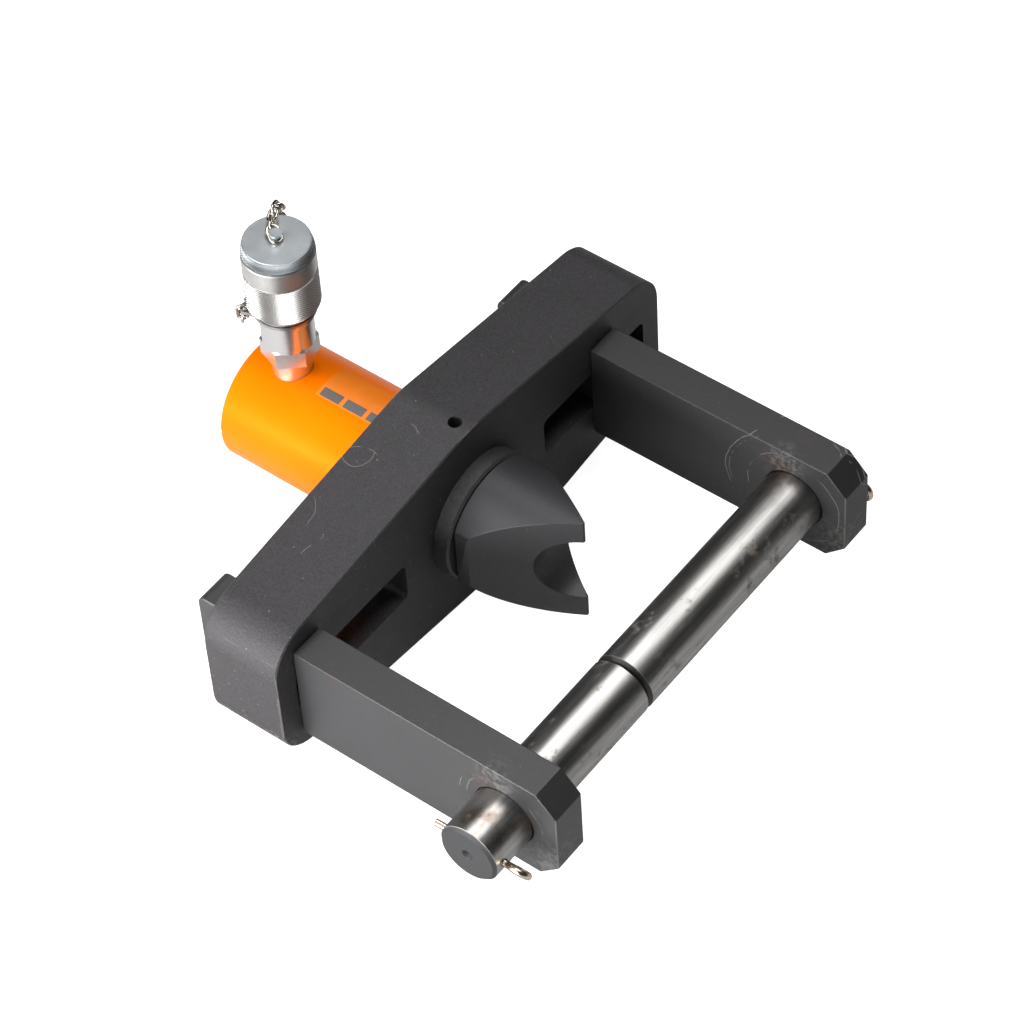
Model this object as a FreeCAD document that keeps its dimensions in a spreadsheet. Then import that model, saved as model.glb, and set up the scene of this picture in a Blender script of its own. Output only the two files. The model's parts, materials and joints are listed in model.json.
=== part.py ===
import FreeCAD, Part
import math
import os
import re
import Sketcher

# Hydraulic flange spreader: a ram in a crosshead drives a wedge head between two T-headed arms.
# Millimetres. The origin is on the ram axis at the crosshead's front face.
# X runs along the crosshead and the pins, the ram pushes towards -Y, and Z is up.

doc = FreeCAD.newDocument("FlangeSpreader")
sheet = doc.addObject("Spreadsheet::Sheet", "Sizes")

DRIVING_SIZES = [
    # crosshead
    ("crosshead_half_length", 126.4),
    ("crosshead_half_height", 48.74),
    ("crosshead_end_half_height", 32.3),
    ("crosshead_thickness", 36.5),
    ("crosshead_end_radius", 19),
    ("crosshead_ridge_radius", 30),
    ("crosshead_edge_chamfer", 0.6),
    ("slot_inner", 46.0),
    ("slot_outer", 115.3),
    ("slot_half_height", 10.0),
    ("slot_corner_radius", 3),
    ("lock_screw_place", 7.6),
    ("lock_screw_radius", 2.9),
    ("lock_screw_length", 10),
    ("lock_screw_socket_depth", 4),
    ("lock_screw_socket_radius", 1.7),
    # arms
    ("arm_length", 127.1),
    ("arm_half_height", 24.87),
    ("arm_thickness", 16.14),
    ("arm_nose_long", 9.2),
    ("arm_nose_tall", 9.4),
    ("left_arm_place", 107.03),
    ("right_arm_place", 86.72),
    ("neck_thickness", 12),
    ("neck_half_height", 7.8),
    ("tee_thickness", 11.5),
    ("tee_half_height", 26.1),
    ("tee_corner_radius", 4),
    # pins and cotters
    ("pin_end_distance", 25.3),
    ("pin_radius", 13.58),
    ("pin_chamfer", 1.5),
    ("short_pin_length", 99.65),
    ("long_pin_length", 141.35),
    ("pin_meeting_place", 38.5),
    ("centre_drill_radius", 2.6),
    ("centre_drill_depth", 2.2),
    ("centre_pilot_radius", 1.1),
    ("centre_pilot_depth", 4.5),
    ("cotter_hole_place", 5.4),
    ("cotter_radius", 1.5),
    ("cotter_eye_radius", 3.7),
    ("cotter_eye_reach", 26),
    ("cotter_shoulder_radius", 4),
    ("cotter_leg_reach", 19),
    ("cotter_splay", 15),
    ("cotter_splay_radius", 3),
    ("short_pin_cotter_angle", 57),
    ("long_pin_cotter_angle", 90),
    # cylinder
    ("cylinder_radius", 28.6),
    ("cylinder_rear", 112.5),
    ("collar_front", 7.5),
    ("collar_thread_end", 19.4),
    ("thread_relief_width", 2),
    ("thread_relief_depth", 1.2),
    ("cylinder_edge_chamfer", 1),
    ("cylinder_bore_radius", 21.45),
    ("cylinder_base_thickness", 29.5),
    ("port_place", 93.5),
    ("port_radius", 8.6),
    ("port_floor", 15),
    ("passage_radius", 3),
    ("passage_height", 18.2),
    ("base_hole_radius", 2.6),
    ("base_hole_depth", 6.4),
    ("base_hole_place", 12.7),
    # ram
    ("rod_radius", 19.05),
    ("rod_front", 8.5),
    ("rod_chamfer", 0.8),
    ("ram_stroke", 54),
    ("piston_length", 17.2),
    ("seal_groove_place", 4.5),
    ("seal_groove_width", 8),
    ("seal_groove_depth", 2.9),
    ("piston_seal_width", 5.7),
    ("stop_ring_front", 2.4),
    ("stop_ring_rear", 11.5),
    ("wiper_width", 3.9),
    ("plunger_hollow_radius", 12),
    ("stud_hole_depth", 23),
    ("web_thickness", 9.5),
    ("web_hole_radius", 5),
    # head and stud
    ("head_overhang", 0.2),
    ("head_half_width", 24.8),
    ("head_flat_length", 6.5),
    ("head_length", 47),
    ("head_tip_half_thickness", 0.6),
    ("head_notch_radius", 17.2),
    ("head_notch_set_back", 0.9),
    ("stud_radius", 12.6),
    ("stud_head_reach", 16),
    ("stud_rod_reach", 18),
    # pull-back spring and its anchors
    ("spring_mean_radius", 8.25),
    ("spring_wire", 2.4),
    ("spring_turns", 9),
    ("anchor_plug_radius", 6.7),
    ("anchor_plug_length", 14),
    ("base_anchor_radius", 6),
    ("base_anchor_depth", 15),
    ("plunger_anchor_head_radius", 8),
    ("plunger_anchor_head_height", 4),
    # coupler, heights above the ram axis
    ("coupler_thread_radius", 8.5),
    ("coupler_thread_top", 35.4),
    ("coupler_collar_radius", 10.4),
    ("hexagon_low", 37.9),
    ("hexagon_high", 46.2),
    ("hexagon_across", 21.3),
    ("hexagon_angle", 11.4),
    ("neck_radius", 11.2),
    ("bead_low", 60.6),
    ("bead_high", 62.9),
    ("bead_radius", 12.2),
    ("sleeve_low", 67.5),
    ("sleeve_high", 96.2),
    ("sleeve_radius", 15.5),
    ("sleeve_band_low", 87.2),
    ("sleeve_band_radius", 15.3),
    ("sleeve_groove_width", 0.5),
    ("sleeve_groove_radius", 15.0),
    ("sleeve_chamfer", 0.9),
    ("sleeve_lip_radius", 12.45),
    ("sleeve_lip_height", 3.1),
    ("sleeve_chamber_radius", 13.7),
    ("flange_radius", 13.3),
    ("flange_height", 3.7),
    ("nose_radius", 10.2),
    ("nose_high", 92),
    ("valve_chamber_low", 60),
    ("valve_chamber_high", 85),
    ("valve_chamber_radius", 6.5),
    ("valve_seat_radius", 7.5),
    ("valve_seat_bore", 4.2),
    ("coupler_bore_radius", 3.5),
    ("snap_ring_low", 65),
    ("snap_ring_height", 2.2),
    ("snap_ring_radius", 13),
    ("snap_ring_slit", 2),
    # valve inside the coupler
    ("poppet_head_radius", 5.9),
    ("poppet_head_height", 5),
    ("poppet_tip_radius", 3.9),
    ("poppet_tip_height", 6.5),
    ("poppet_tail_radius", 2.5),
    ("poppet_tail_height", 14),
    ("poppet_spring_mean_radius", 4.6),
    ("poppet_spring_wire", 1.1),
    ("poppet_spring_turns", 5),
    # dust cap
    ("cap_shank_low", 80),
    ("cap_shank_radius", 13.4),
    ("cap_inside_radius", 10.6),
    ("cap_inside_high", 94),
    ("cap_head_low", 97.3),
    ("cap_head_high", 102),
    ("cap_head_radius", 15.3),
    ("cap_edge_width", 1.2),
    ("cap_edge_height", 0.8),
    ("gasket_radius", 10.3),
    ("gasket_thickness", 1.6),
    ("rivet_radius", 1.5),
    ("rivet_tail_radius", 2.8),
    ("rivet_tail_height", 1.1),
    ("rivet_recess_height", 1.5),
    ("rivet_neck_high", 105),
    ("rivet_head_radius", 2.6),
    ("rivet_head_height", 1.2),
    # chain and its ring
    ("chain_ring_low", 63.3),
    ("chain_ring_thickness", 1.4),
    ("chain_ring_inner", 11.5),
    ("chain_ring_outer", 13.4),
    ("chain_ear_place", 15.2),
    ("chain_ear_radius", 3.1),
    ("chain_ear_hole_radius", 1.5),
    ("chain_ear_angle", 130.3),
    ("chain_ring_slit", 1.2),
    ("chain_wire_radius", 0.65),
    ("link_inner_length", 5.2),
    ("link_inner_half_width", 1.4),
    ("eye_inner_length", 6.8),
    ("eye_inner_half_width", 1.8),
    ("eye_angle", 61),
    # chain's route: its angle round the coupler, and how far it drops or stands out there
    ("crest_angle", 48),
    ("crest_reach", 10),
    ("rim_angle", 38),
    ("rim_inset", 2.4),
    ("rim_lift", 0.3),
    ("side_angle", 36),
    ("side_drop", 5.0),
    ("side_bow", 1.1),
    ("middle_angle", 44),
    ("middle_drop", 14),
    ("middle_bow", 0.3),
    ("lower_angle", 66),
    ("lower_rise", 10),
    ("lower_bow", 0.2),
    ("hang_angle", 86),
    ("sag_depth", 7.4),
    ("sag_start_angle", 102),
    ("sag_end_angle", 119),
    ("sag_tuck", 0.4),
    # clearances
    ("thread_gap", 0.1),
    ("running_gap", 0.07),
    ("seat_gap", 0.1),
    ("clear_gap", 0.3),
    ("chain_slack", 0.3),
]
for row, (alias, number) in enumerate(DRIVING_SIZES, start=1):
    sheet.set("A%d" % row, alias)
    sheet.set("B%d" % row, str(number))
    sheet.setAlias("B%d" % row, alias)
doc.recompute()
ALIASES = {alias for alias, number in DRIVING_SIZES}

# Places that several pieces share, worked out from the driving sizes.
PISTON_FRONT = "(stop_ring_rear + ram_stroke)"
PISTON_REAR = "(stop_ring_rear + ram_stroke + piston_length)"
PISTON_RADIUS = "(cylinder_bore_radius - running_gap)"
GROOVE_FLOOR = "(cylinder_bore_radius - running_gap - seal_groove_depth)"
GROOVE_FRONT = "(stop_ring_rear + ram_stroke + seal_groove_place)"
GROOVE_REAR = "(stop_ring_rear + ram_stroke + seal_groove_place + seal_groove_width)"
SEAL_REAR = "(stop_ring_rear + ram_stroke + seal_groove_place + seat_gap + piston_seal_width)"
BORE_FLOOR = "(cylinder_rear - cylinder_base_thickness)"
STUD_HOLE_FLOOR = "(stud_hole_depth - rod_front)"
WEB_REAR = "(stud_hole_depth - rod_front + web_thickness)"
TEE_FRONT = "(crosshead_thickness + clear_gap)"
TEE_REAR = "(crosshead_thickness + clear_gap + tee_thickness)"
FLANGE_LOW = "(sleeve_low + sleeve_lip_height + clear_gap)"
FLANGE_HIGH = "(sleeve_low + sleeve_lip_height + clear_gap + flange_height)"
CHAIN_RING_HIGH = "(chain_ring_low + chain_ring_thickness)"
PIN_PLACE = "(arm_length - pin_end_distance)"
HEAD_RADIUS = "(cylinder_radius + head_overhang)"

PLANE_SIGN = {"XY_Plane": 1, "XZ_Plane": -1, "YZ_Plane": 1}
made = []


def expanded(text):
    """Put the sheet's name before each alias of an expression."""
    def name(match):
        word = match.group(0)
        return "Sizes." + word if word in ALIASES else word
    return re.sub(r"[a-z][a-z_]*", name, str(text))


def size(text):
    return float(sheet.evalExpression(expanded(text)))


def bind(thing, prop, text):
    thing.setExpression(prop, expanded(text))


def new_body(label):
    body = doc.addObject("PartDesign::Body", label)
    body.Label = label
    made.append(body)
    return body


def place(thing, x="0", y="0", z="0"):
    for axis, text in (("x", x), ("y", y), ("z", z)):
        bind(thing, "Placement.Base." + axis, text)


def new_sketch(body, role, start):
    """A sketch on an origin plane of the body, moved along that plane's world axis to start."""
    sketch = body.newObject("Sketcher::SketchObject", body.Label + "_sketch")
    plane = [feature for feature in body.Origin.OriginFeatures if feature.Role == role][0]
    sketch.AttachmentSupport = (plane, [""])
    sketch.MapMode = "FlatFace"
    bind(sketch, "AttachmentOffset.Base.z", "%d * (%s)" % (PLANE_SIGN[role], start))
    return sketch


def hold(sketch, kind, geometry, point, text):
    """Fix the distance of a sketch point from the sketch's origin by an expression."""
    number = sketch.addConstraint(Sketcher.Constraint(kind, -1, 1, geometry, point, size(text)))
    name = "%s_%d" % (kind, number)
    sketch.renameConstraint(number, name)
    bind(sketch, "Constraints." + name, text)


def outline(body, role, corners, start="0"):
    """A closed outline of straight lines whose corners are pairs of expressions."""
    sketch = new_sketch(body, role, start)
    points = [FreeCAD.Vector(size(across), size(along), 0) for across, along in corners]
    count = len(points)
    for index in range(count):
        sketch.addGeometry(Part.LineSegment(points[index], points[(index + 1) % count]))
    for index in range(count):
        sketch.addConstraint(Sketcher.Constraint("Coincident", index, 2, (index + 1) % count, 1))
    for index, (across, along) in enumerate(corners):
        hold(sketch, "DistanceX", index, 1, across)
        hold(sketch, "DistanceY", index, 1, along)
    return sketch


def box_corners(left, right, low, high):
    return [(left, low), (right, low), (right, high), (left, high)]


def disc(body, role, radius, centre=("0", "0"), start="0"):
    sketch = new_sketch(body, role, start)
    middle = FreeCAD.Vector(size(centre[0]), size(centre[1]), 0)
    sketch.addGeometry(Part.Circle(middle, FreeCAD.Vector(0, 0, 1), size(radius)))
    hold(sketch, "DistanceX", 0, 3, centre[0])
    hold(sketch, "DistanceY", 0, 3, centre[1])
    number = sketch.addConstraint(Sketcher.Constraint("Radius", 0, size(radius)))
    sketch.renameConstraint(number, "radius")
    bind(sketch, "Constraints.radius", radius)
    return sketch


def pad(body, sketch, length, role, centred=False):
    """Add the sketch's outline, towards the world axis of its plane or to both sides."""
    feature = body.newObject("PartDesign::Pad", body.Label + "_pad")
    feature.Profile = sketch
    bind(feature, "Length", length)
    feature.Midplane = centred
    feature.Reversed = PLANE_SIGN[role] < 0
    doc.recompute()
    return feature


def cut(body, sketch, length, role, centred=False):
    """Take the sketch's outline away, and make sure that it met the solid."""
    before = body.Shape.Volume
    feature = body.newObject("PartDesign::Pocket", body.Label + "_pocket")
    feature.Profile = sketch
    bind(feature, "Length", length)
    feature.Midplane = centred
    feature.Reversed = PLANE_SIGN[role] > 0
    doc.recompute()
    if not body.Shape.Volume < before - 1e-3:
        raise RuntimeError("A cut missed " + body.Label)
    return feature


def turned(label, corners, axis):
    """A body turned from (radius, place) corners about Y or Z, or (place, radius) about X."""
    body = new_body(label)
    role = {"X": "XZ_Plane", "Y": "XY_Plane", "Z": "XZ_Plane"}[axis]
    sketch = outline(body, role, corners)
    feature = body.newObject("PartDesign::Revolution", label + "_turned")
    feature.Profile = sketch
    feature.ReferenceAxis = (sketch, ["H_Axis" if axis == "X" else "V_Axis"])
    feature.Angle = 360
    doc.recompute()
    return body


def ring(label, inner, outer, low, high, axis):
    return turned(label, box_corners(inner, outer, low, high), axis)


def edges_where(body, test):
    """Names of the body's edges whose middle and direction pass the test."""
    names = []
    for index, edge in enumerate(body.Shape.Edges, start=1):
        first = edge.valueAt(edge.FirstParameter)
        last = edge.valueAt(edge.LastParameter)
        if test((first + last) * 0.5, last - first):
            names.append("Edge%d" % index)
    return names


def round_edges(body, test, radius):
    base = body.Tip
    names = edges_where(body, test)
    feature = body.newObject("PartDesign::Fillet", body.Label + "_fillet")
    feature.Base = (base, names)
    bind(feature, "Radius", radius)
    doc.recompute()
    return feature


def bevel_edges(body, test, width):
    base = body.Tip
    names = edges_where(body, test)
    feature = body.newObject("PartDesign::Chamfer", body.Label + "_chamfer")
    feature.Base = (base, names)
    bind(feature, "Size", width)
    doc.recompute()
    return feature


def runs_along(axis, direction):
    """True if an edge's direction is the given world axis only."""
    parts = {"x": abs(direction.x), "y": abs(direction.y), "z": abs(direction.z)}
    others = [value for name, value in parts.items() if name != axis]
    return parts[axis] > 0.5 and max(others) < 1e-4


def solid_piece(label, shape, placement=FreeCAD.Placement()):
    """A piece whose shape comes from wires and sweeps."""
    piece = doc.addObject("Part::Feature", label)
    piece.Label = label
    piece.Shape = shape
    piece.Placement = placement
    made.append(piece)
    return piece


# Crosshead

def make_crosshead():
    body = new_body("crosshead")
    corners = [
        ("0", "crosshead_half_height"),
        ("crosshead_half_length", "crosshead_end_half_height"),
        ("crosshead_half_length", "-crosshead_end_half_height"),
        ("0", "-crosshead_half_height"),
        ("-crosshead_half_length", "-crosshead_end_half_height"),
        ("-crosshead_half_length", "crosshead_end_half_height"),
    ]
    pad(body, outline(body, "XZ_Plane", corners), "crosshead_thickness", "XZ_Plane")
    half_length = size("crosshead_half_length")

    def end_corner(middle, direction):
        return runs_along("y", direction) and abs(abs(middle.x) - half_length) < 0.01

    def ridge(middle, direction):
        return runs_along("y", direction) and abs(middle.x) < 0.01

    def front_or_back(middle, direction):
        at_face = min(abs(middle.y), abs(middle.y - size("crosshead_thickness"))) < 0.01
        return at_face and abs(direction.y) < 1e-4

    round_edges(body, end_corner, "crosshead_end_radius")
    round_edges(body, ridge, "crosshead_ridge_radius")
    bevel_edges(body, front_or_back, "crosshead_edge_chamfer")
    cut_through_crosshead(body)


def cut_through_crosshead(body):
    role = "XZ_Plane"
    cut(body, disc(body, role, "cylinder_radius + thread_gap"), "crosshead_thickness", role)
    for left, right in (("slot_inner", "slot_outer"), ("-slot_outer", "-slot_inner")):
        slot = outline(body, role, box_corners(left, right, "-slot_half_height", "slot_half_height"))
        cut(body, slot, "crosshead_thickness", role)

    def slot_corner(middle, direction):
        at_end = min(abs(abs(middle.x) - size("slot_inner")), abs(abs(middle.x) - size("slot_outer")))
        at_side = abs(abs(middle.z) - size("slot_half_height"))
        return runs_along("y", direction) and at_end < 0.01 and at_side < 0.01

    round_edges(body, slot_corner, "slot_corner_radius")
    screw_hole = disc(body, "XY_Plane", "lock_screw_radius + thread_gap", ("0", "lock_screw_place"))
    cut(body, screw_hole, "crosshead_half_height + 1", "XY_Plane")


def make_lock_screw():
    """A socket set screw that bears on the cylinder's collar."""
    low = "cylinder_radius + clear_gap"
    high = low + " + lock_screw_length"
    corners = box_corners("0", "lock_screw_radius", low, high)
    body = turned("crosshead_lock_screw", corners, "Z")
    socket = body.newObject("PartDesign::SubtractivePrism", "lock_screw_socket")
    socket.Polygon = 6
    bind(socket, "Circumradius", "lock_screw_socket_radius")
    bind(socket, "Height", "lock_screw_socket_depth")
    bind(socket, "AttachmentOffset.Base.z", high + " - lock_screw_socket_depth")
    plane = [feature for feature in body.Origin.OriginFeatures if feature.Role == "XY_Plane"][0]
    socket.AttachmentSupport = (plane, [""])
    socket.MapMode = "FlatFace"
    place(body, y="lock_screw_place")
    doc.recompute()


# Arms

def make_arm(label, middle):
    """A jaw plate, a neck that turns in the slot, and a T-head behind the crosshead."""
    body = new_body(label)
    plate = [
        ("-clear_gap", "-arm_half_height"),
        ("-clear_gap", "arm_half_height"),
        ("arm_nose_long - arm_length", "arm_half_height"),
        ("-arm_length", "arm_half_height - arm_nose_tall"),
        ("-arm_length", "arm_nose_tall - arm_half_height"),
        ("arm_nose_long - arm_length", "-arm_half_height"),
    ]
    neck = box_corners("-clear_gap", TEE_FRONT, "-neck_half_height", "neck_half_height")
    tee = box_corners(TEE_FRONT, TEE_REAR, "-tee_half_height", "tee_half_height")
    role = "YZ_Plane"
    pad(body, outline(body, role, plate), "arm_thickness", role, centred=True)
    pad(body, outline(body, role, neck), "neck_thickness", role, centred=True)
    pad(body, outline(body, role, tee), "arm_thickness", role, centred=True)

    def tee_corner(middle_point, direction):
        return runs_along("x", direction) and abs(middle_point.y - size(TEE_REAR)) < 0.01

    round_edges(body, tee_corner, "tee_corner_radius")
    hole = disc(body, role, "pin_radius + clear_gap", ("-" + PIN_PLACE, "0"))
    cut(body, hole, "arm_thickness * 2", role, centred=True)
    place(body, x=middle)


# Pins and cotters

def make_pin(label, length, outer_end, turn):
    """A ground pin, centre drilled in its outer end, with a cross hole for a cotter."""
    corners = [
        ("centre_pilot_depth", "0"),
        ("centre_pilot_depth", "centre_pilot_radius"),
        ("centre_drill_depth", "centre_pilot_radius"),
        ("0", "centre_drill_radius"),
        ("0", "pin_radius - pin_chamfer"),
        ("pin_chamfer", "pin_radius"),
        (length + " - pin_chamfer", "pin_radius"),
        (length, "pin_radius - pin_chamfer"),
        (length, "0"),
    ]
    body = turned(label, corners, "X")
    hole = disc(body, "XZ_Plane", "cotter_radius + clear_gap", ("cotter_hole_place", "0"))
    cut(body, hole, "pin_radius * 4", "XZ_Plane", centred=True)
    body.Placement.Rotation = FreeCAD.Rotation(FreeCAD.Vector(0, 0, 1), turn)
    place(body, x=outer_end, y="-" + PIN_PLACE)


def arc_edge(centre, radius, start_angle, end_angle):
    """An arc in the XY plane, by its angles in degrees, from start to end."""
    points = []
    for angle in (start_angle, (start_angle + end_angle) / 2, end_angle):
        turn = math.radians(angle)
        points.append(centre + FreeCAD.Vector(math.cos(turn), math.sin(turn), 0) * radius)
    return Part.Arc(*points).toShape(), points[2]


def cotter_path():
    """The line of the flat side of the half-round wire, from one leg's tip round the eye."""
    half_gap = size("seat_gap") / 2
    eye = size("cotter_eye_radius")
    shoulder = size("cotter_shoulder_radius")
    eye_centre = FreeCAD.Vector(-size("cotter_eye_reach - cotter_eye_radius - cotter_radius"), 0, 0)
    rise = half_gap + shoulder
    lean = math.degrees(math.asin(rise / (eye + shoulder)))
    shoulder_x = eye_centre.x + math.sqrt((eye + shoulder) ** 2 - rise ** 2)
    splay = size("cotter_splay")
    bend = size("cotter_splay_radius")
    bend_x = size("pin_radius + clear_gap")

    eye_arc, eye_end = arc_edge(eye_centre, eye, 180, lean)
    shoulder_centre = FreeCAD.Vector(shoulder_x, rise, 0)
    shoulder_arc, shoulder_end = arc_edge(shoulder_centre, shoulder, lean + 180, 270)
    leg_end = FreeCAD.Vector(bend_x, half_gap, 0)
    leg = Part.LineSegment(shoulder_end, leg_end).toShape()
    bend_arc, bend_end = arc_edge(FreeCAD.Vector(bend_x, half_gap + bend, 0), bend, 270, 270 + splay)
    run = (size("cotter_leg_reach") - bend_end.x) / math.cos(math.radians(splay))
    direction = FreeCAD.Vector(math.cos(math.radians(splay)), math.sin(math.radians(splay)), 0)
    tip = Part.LineSegment(bend_end, bend_end + direction * run).toShape()
    upper = [eye_arc, shoulder_arc, leg, bend_arc, tip]
    lower = [edge.mirror(FreeCAD.Vector(), FreeCAD.Vector(0, 1, 0)) for edge in upper]
    return Part.Wire(Part.__sortEdges__(upper + lower)), bend_end + direction * run, direction


def cotter_shape():
    path, tip, direction = cotter_path()
    radius = size("cotter_radius")
    outward = FreeCAD.Vector(-direction.y, direction.x, 0)
    upright = FreeCAD.Vector(0, 0, 1)
    arc = Part.Arc(tip + upright * radius, tip + outward * radius, tip - upright * radius).toShape()
    flat = Part.LineSegment(tip - upright * radius, tip + upright * radius).toShape()
    sweep = Part.BRepOffsetAPI.MakePipeShell(path)
    sweep.setBiNormalMode(upright)
    sweep.add(Part.Wire([arc, flat]))
    sweep.build()
    sweep.makeSolid()
    return sweep.shape()


def make_cotter(label, outer_end, inward, roll):
    """The cotter stands across the pin with its eye towards the front, rolled about its legs."""
    x = size(outer_end) + inward * size("cotter_hole_place")
    along_y = FreeCAD.Rotation(FreeCAD.Vector(0, 0, 1), 90)
    rolled = FreeCAD.Rotation(FreeCAD.Vector(1, 0, 0), roll)
    centre = FreeCAD.Vector(x, -size(PIN_PLACE), 0)
    solid_piece(label, cotter_shape(), FreeCAD.Placement(centre, along_y * rolled))


# Cylinder and ram

def make_cylinder():
    corners = [
        ("cylinder_bore_radius", "-collar_front"),
        ("cylinder_radius - cylinder_edge_chamfer", "-collar_front"),
        ("cylinder_radius", "cylinder_edge_chamfer - collar_front"),
        ("cylinder_radius", "collar_thread_end"),
        ("cylinder_radius - thread_relief_depth", "collar_thread_end"),
        ("cylinder_radius - thread_relief_depth", "collar_thread_end + thread_relief_width"),
        ("cylinder_radius", "collar_thread_end + thread_relief_width"),
        ("cylinder_radius", "cylinder_rear - cylinder_edge_chamfer"),
        ("cylinder_radius - cylinder_edge_chamfer", "cylinder_rear"),
        ("0", "cylinder_rear"),
        ("0", BORE_FLOOR),
        ("cylinder_bore_radius", BORE_FLOOR),
    ]
    body = turned("cylinder_body", corners, "Y")
    port = disc(body, "XY_Plane", "port_radius", ("0", "port_place"), start="port_floor")
    cut(body, port, "cylinder_radius", "XY_Plane")
    anchor = disc(body, "XZ_Plane", "base_anchor_radius + thread_gap", start=BORE_FLOOR)
    cut(body, anchor, "base_anchor_depth", "XZ_Plane")
    passage = disc(body, "XZ_Plane", "passage_radius", ("0", "passage_height"), start=BORE_FLOOR)
    cut(body, passage, "port_place - " + BORE_FLOOR, "XZ_Plane")
    for side in ("", "-"):
        centre = (side + "base_hole_place", "0")
        start = "cylinder_rear - base_hole_depth"
        hole = disc(body, "XZ_Plane", "base_hole_radius", centre, start=start)
        cut(body, hole, "base_hole_depth", "XZ_Plane")


def make_plunger():
    corners = [
        ("stud_radius + thread_gap", "-rod_front"),
        ("rod_radius - rod_chamfer", "-rod_front"),
        ("rod_radius", "rod_chamfer - rod_front"),
        ("rod_radius", PISTON_FRONT),
        (PISTON_RADIUS, PISTON_FRONT),
        (PISTON_RADIUS, GROOVE_FRONT),
        (GROOVE_FLOOR, GROOVE_FRONT),
        (GROOVE_FLOOR, GROOVE_REAR),
        (PISTON_RADIUS, GROOVE_REAR),
        (PISTON_RADIUS, PISTON_REAR),
        ("plunger_hollow_radius", PISTON_REAR),
        ("plunger_hollow_radius", WEB_REAR),
        ("web_hole_radius", WEB_REAR),
        ("web_hole_radius", STUD_HOLE_FLOOR),
        ("stud_radius + thread_gap", STUD_HOLE_FLOOR),
    ]
    turned("plunger", corners, "Y")


def make_ram_rings():
    """The stop ring and wiper in the cylinder's mouth, and the seal and its backup on the piston."""
    rod_hole = "rod_radius + running_gap"
    bore = "cylinder_bore_radius - thread_gap"
    ring("stop_ring", rod_hole, bore, "-stop_ring_front", "stop_ring_rear", "Y")
    wiper_rear = "-(stop_ring_front + seat_gap)"
    ring("wiper_seal", rod_hole, bore, wiper_rear + " - wiper_width", wiper_rear, "Y")
    groove = GROOVE_FLOOR + " + seat_gap"
    ring("piston_seal", groove, PISTON_RADIUS, GROOVE_FRONT + " + seat_gap", SEAL_REAR, "Y")
    backup_front = SEAL_REAR + " + seat_gap"
    ring("backup_ring", groove, PISTON_RADIUS, backup_front, GROOVE_REAR + " - seat_gap", "Y")


def make_wedge_head():
    """A round head cut to a wedge, with a half-round notch that clears the pins."""
    body = new_body("wedge_head")
    base = "-(rod_front + seat_gap)"
    tip = base + " - head_length"
    role = "XZ_Plane"
    pad(body, disc(body, role, HEAD_RADIUS, start=tip), "head_length", role)
    flat_end = base + " - head_flat_length"
    outside = HEAD_RADIUS + " * 2"
    for side in ("", "-"):
        waste = [
            (side + "head_half_width", base + " + 1"),
            (side + "head_half_width", flat_end),
            (side + "head_tip_half_thickness", tip),
            (side + "head_tip_half_thickness", tip + " - 1"),
            (side + outside, tip + " - 1"),
            (side + outside, base + " + 1"),
        ]
        cut(body, outline(body, "XY_Plane", waste), HEAD_RADIUS + " * 4", "XY_Plane", centred=True)
    notch = disc(body, "YZ_Plane", "head_notch_radius", (tip + " + head_notch_set_back", "0"))
    cut(body, notch, HEAD_RADIUS + " * 4", "YZ_Plane", centred=True)
    stud_floor = base + " - stud_head_reach - clear_gap"
    stud_hole = disc(body, role, "stud_radius + thread_gap", start=stud_floor)
    cut(body, stud_hole, "stud_head_reach + clear_gap", role)


def make_head_stud():
    front = "-(rod_front + seat_gap) - stud_head_reach"
    rear = "stud_rod_reach - rod_front"
    turned("head_stud", [
        ("0", front),
        ("stud_radius - rod_chamfer", front),
        ("stud_radius", front + " + rod_chamfer"),
        ("stud_radius", rear + " - rod_chamfer"),
        ("stud_radius - rod_chamfer", rear),
        ("0", rear),
    ], "Y")


def make_anchors():
    """The base anchor screws into the cylinder's floor, the other one is held by the rod's web."""
    plug_front = BORE_FLOOR + " - anchor_plug_length"
    turned("spring_base_anchor", [
        ("0", plug_front),
        ("anchor_plug_radius", plug_front),
        ("anchor_plug_radius", BORE_FLOOR + " - seat_gap"),
        ("base_anchor_radius", BORE_FLOOR + " - seat_gap"),
        ("base_anchor_radius", BORE_FLOOR + " + base_anchor_depth - clear_gap"),
        ("0", BORE_FLOOR + " + base_anchor_depth - clear_gap"),
    ], "Y")
    head_rear = STUD_HOLE_FLOOR + " - seat_gap"
    shank = "web_hole_radius - seat_gap"
    turned("spring_plunger_anchor", [
        ("0", head_rear + " - plunger_anchor_head_height"),
        ("plunger_anchor_head_radius", head_rear + " - plunger_anchor_head_height"),
        ("plunger_anchor_head_radius", head_rear),
        (shank, head_rear),
        (shank, WEB_REAR + " + seat_gap"),
        ("anchor_plug_radius", WEB_REAR + " + seat_gap"),
        ("anchor_plug_radius", WEB_REAR + " + anchor_plug_length"),
        ("0", WEB_REAR + " + anchor_plug_length"),
    ], "Y")


def coil(mean_radius, wire, turns, length):
    """A coil of square wire that stands on the XY plane."""
    pitch = (length - wire) / turns
    half = wire / 2
    path = Part.makeHelix(pitch, pitch * turns, mean_radius)
    path.translate(FreeCAD.Vector(0, 0, half))
    corners = [(-half, 0), (half, 0), (half, wire), (-half, wire)]
    points = [FreeCAD.Vector(mean_radius + across, 0, up) for across, up in corners]
    section = Part.makePolygon(points + points[:1])
    return Part.Wire(path.Edges).makePipeShell([section], True, True)


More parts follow.
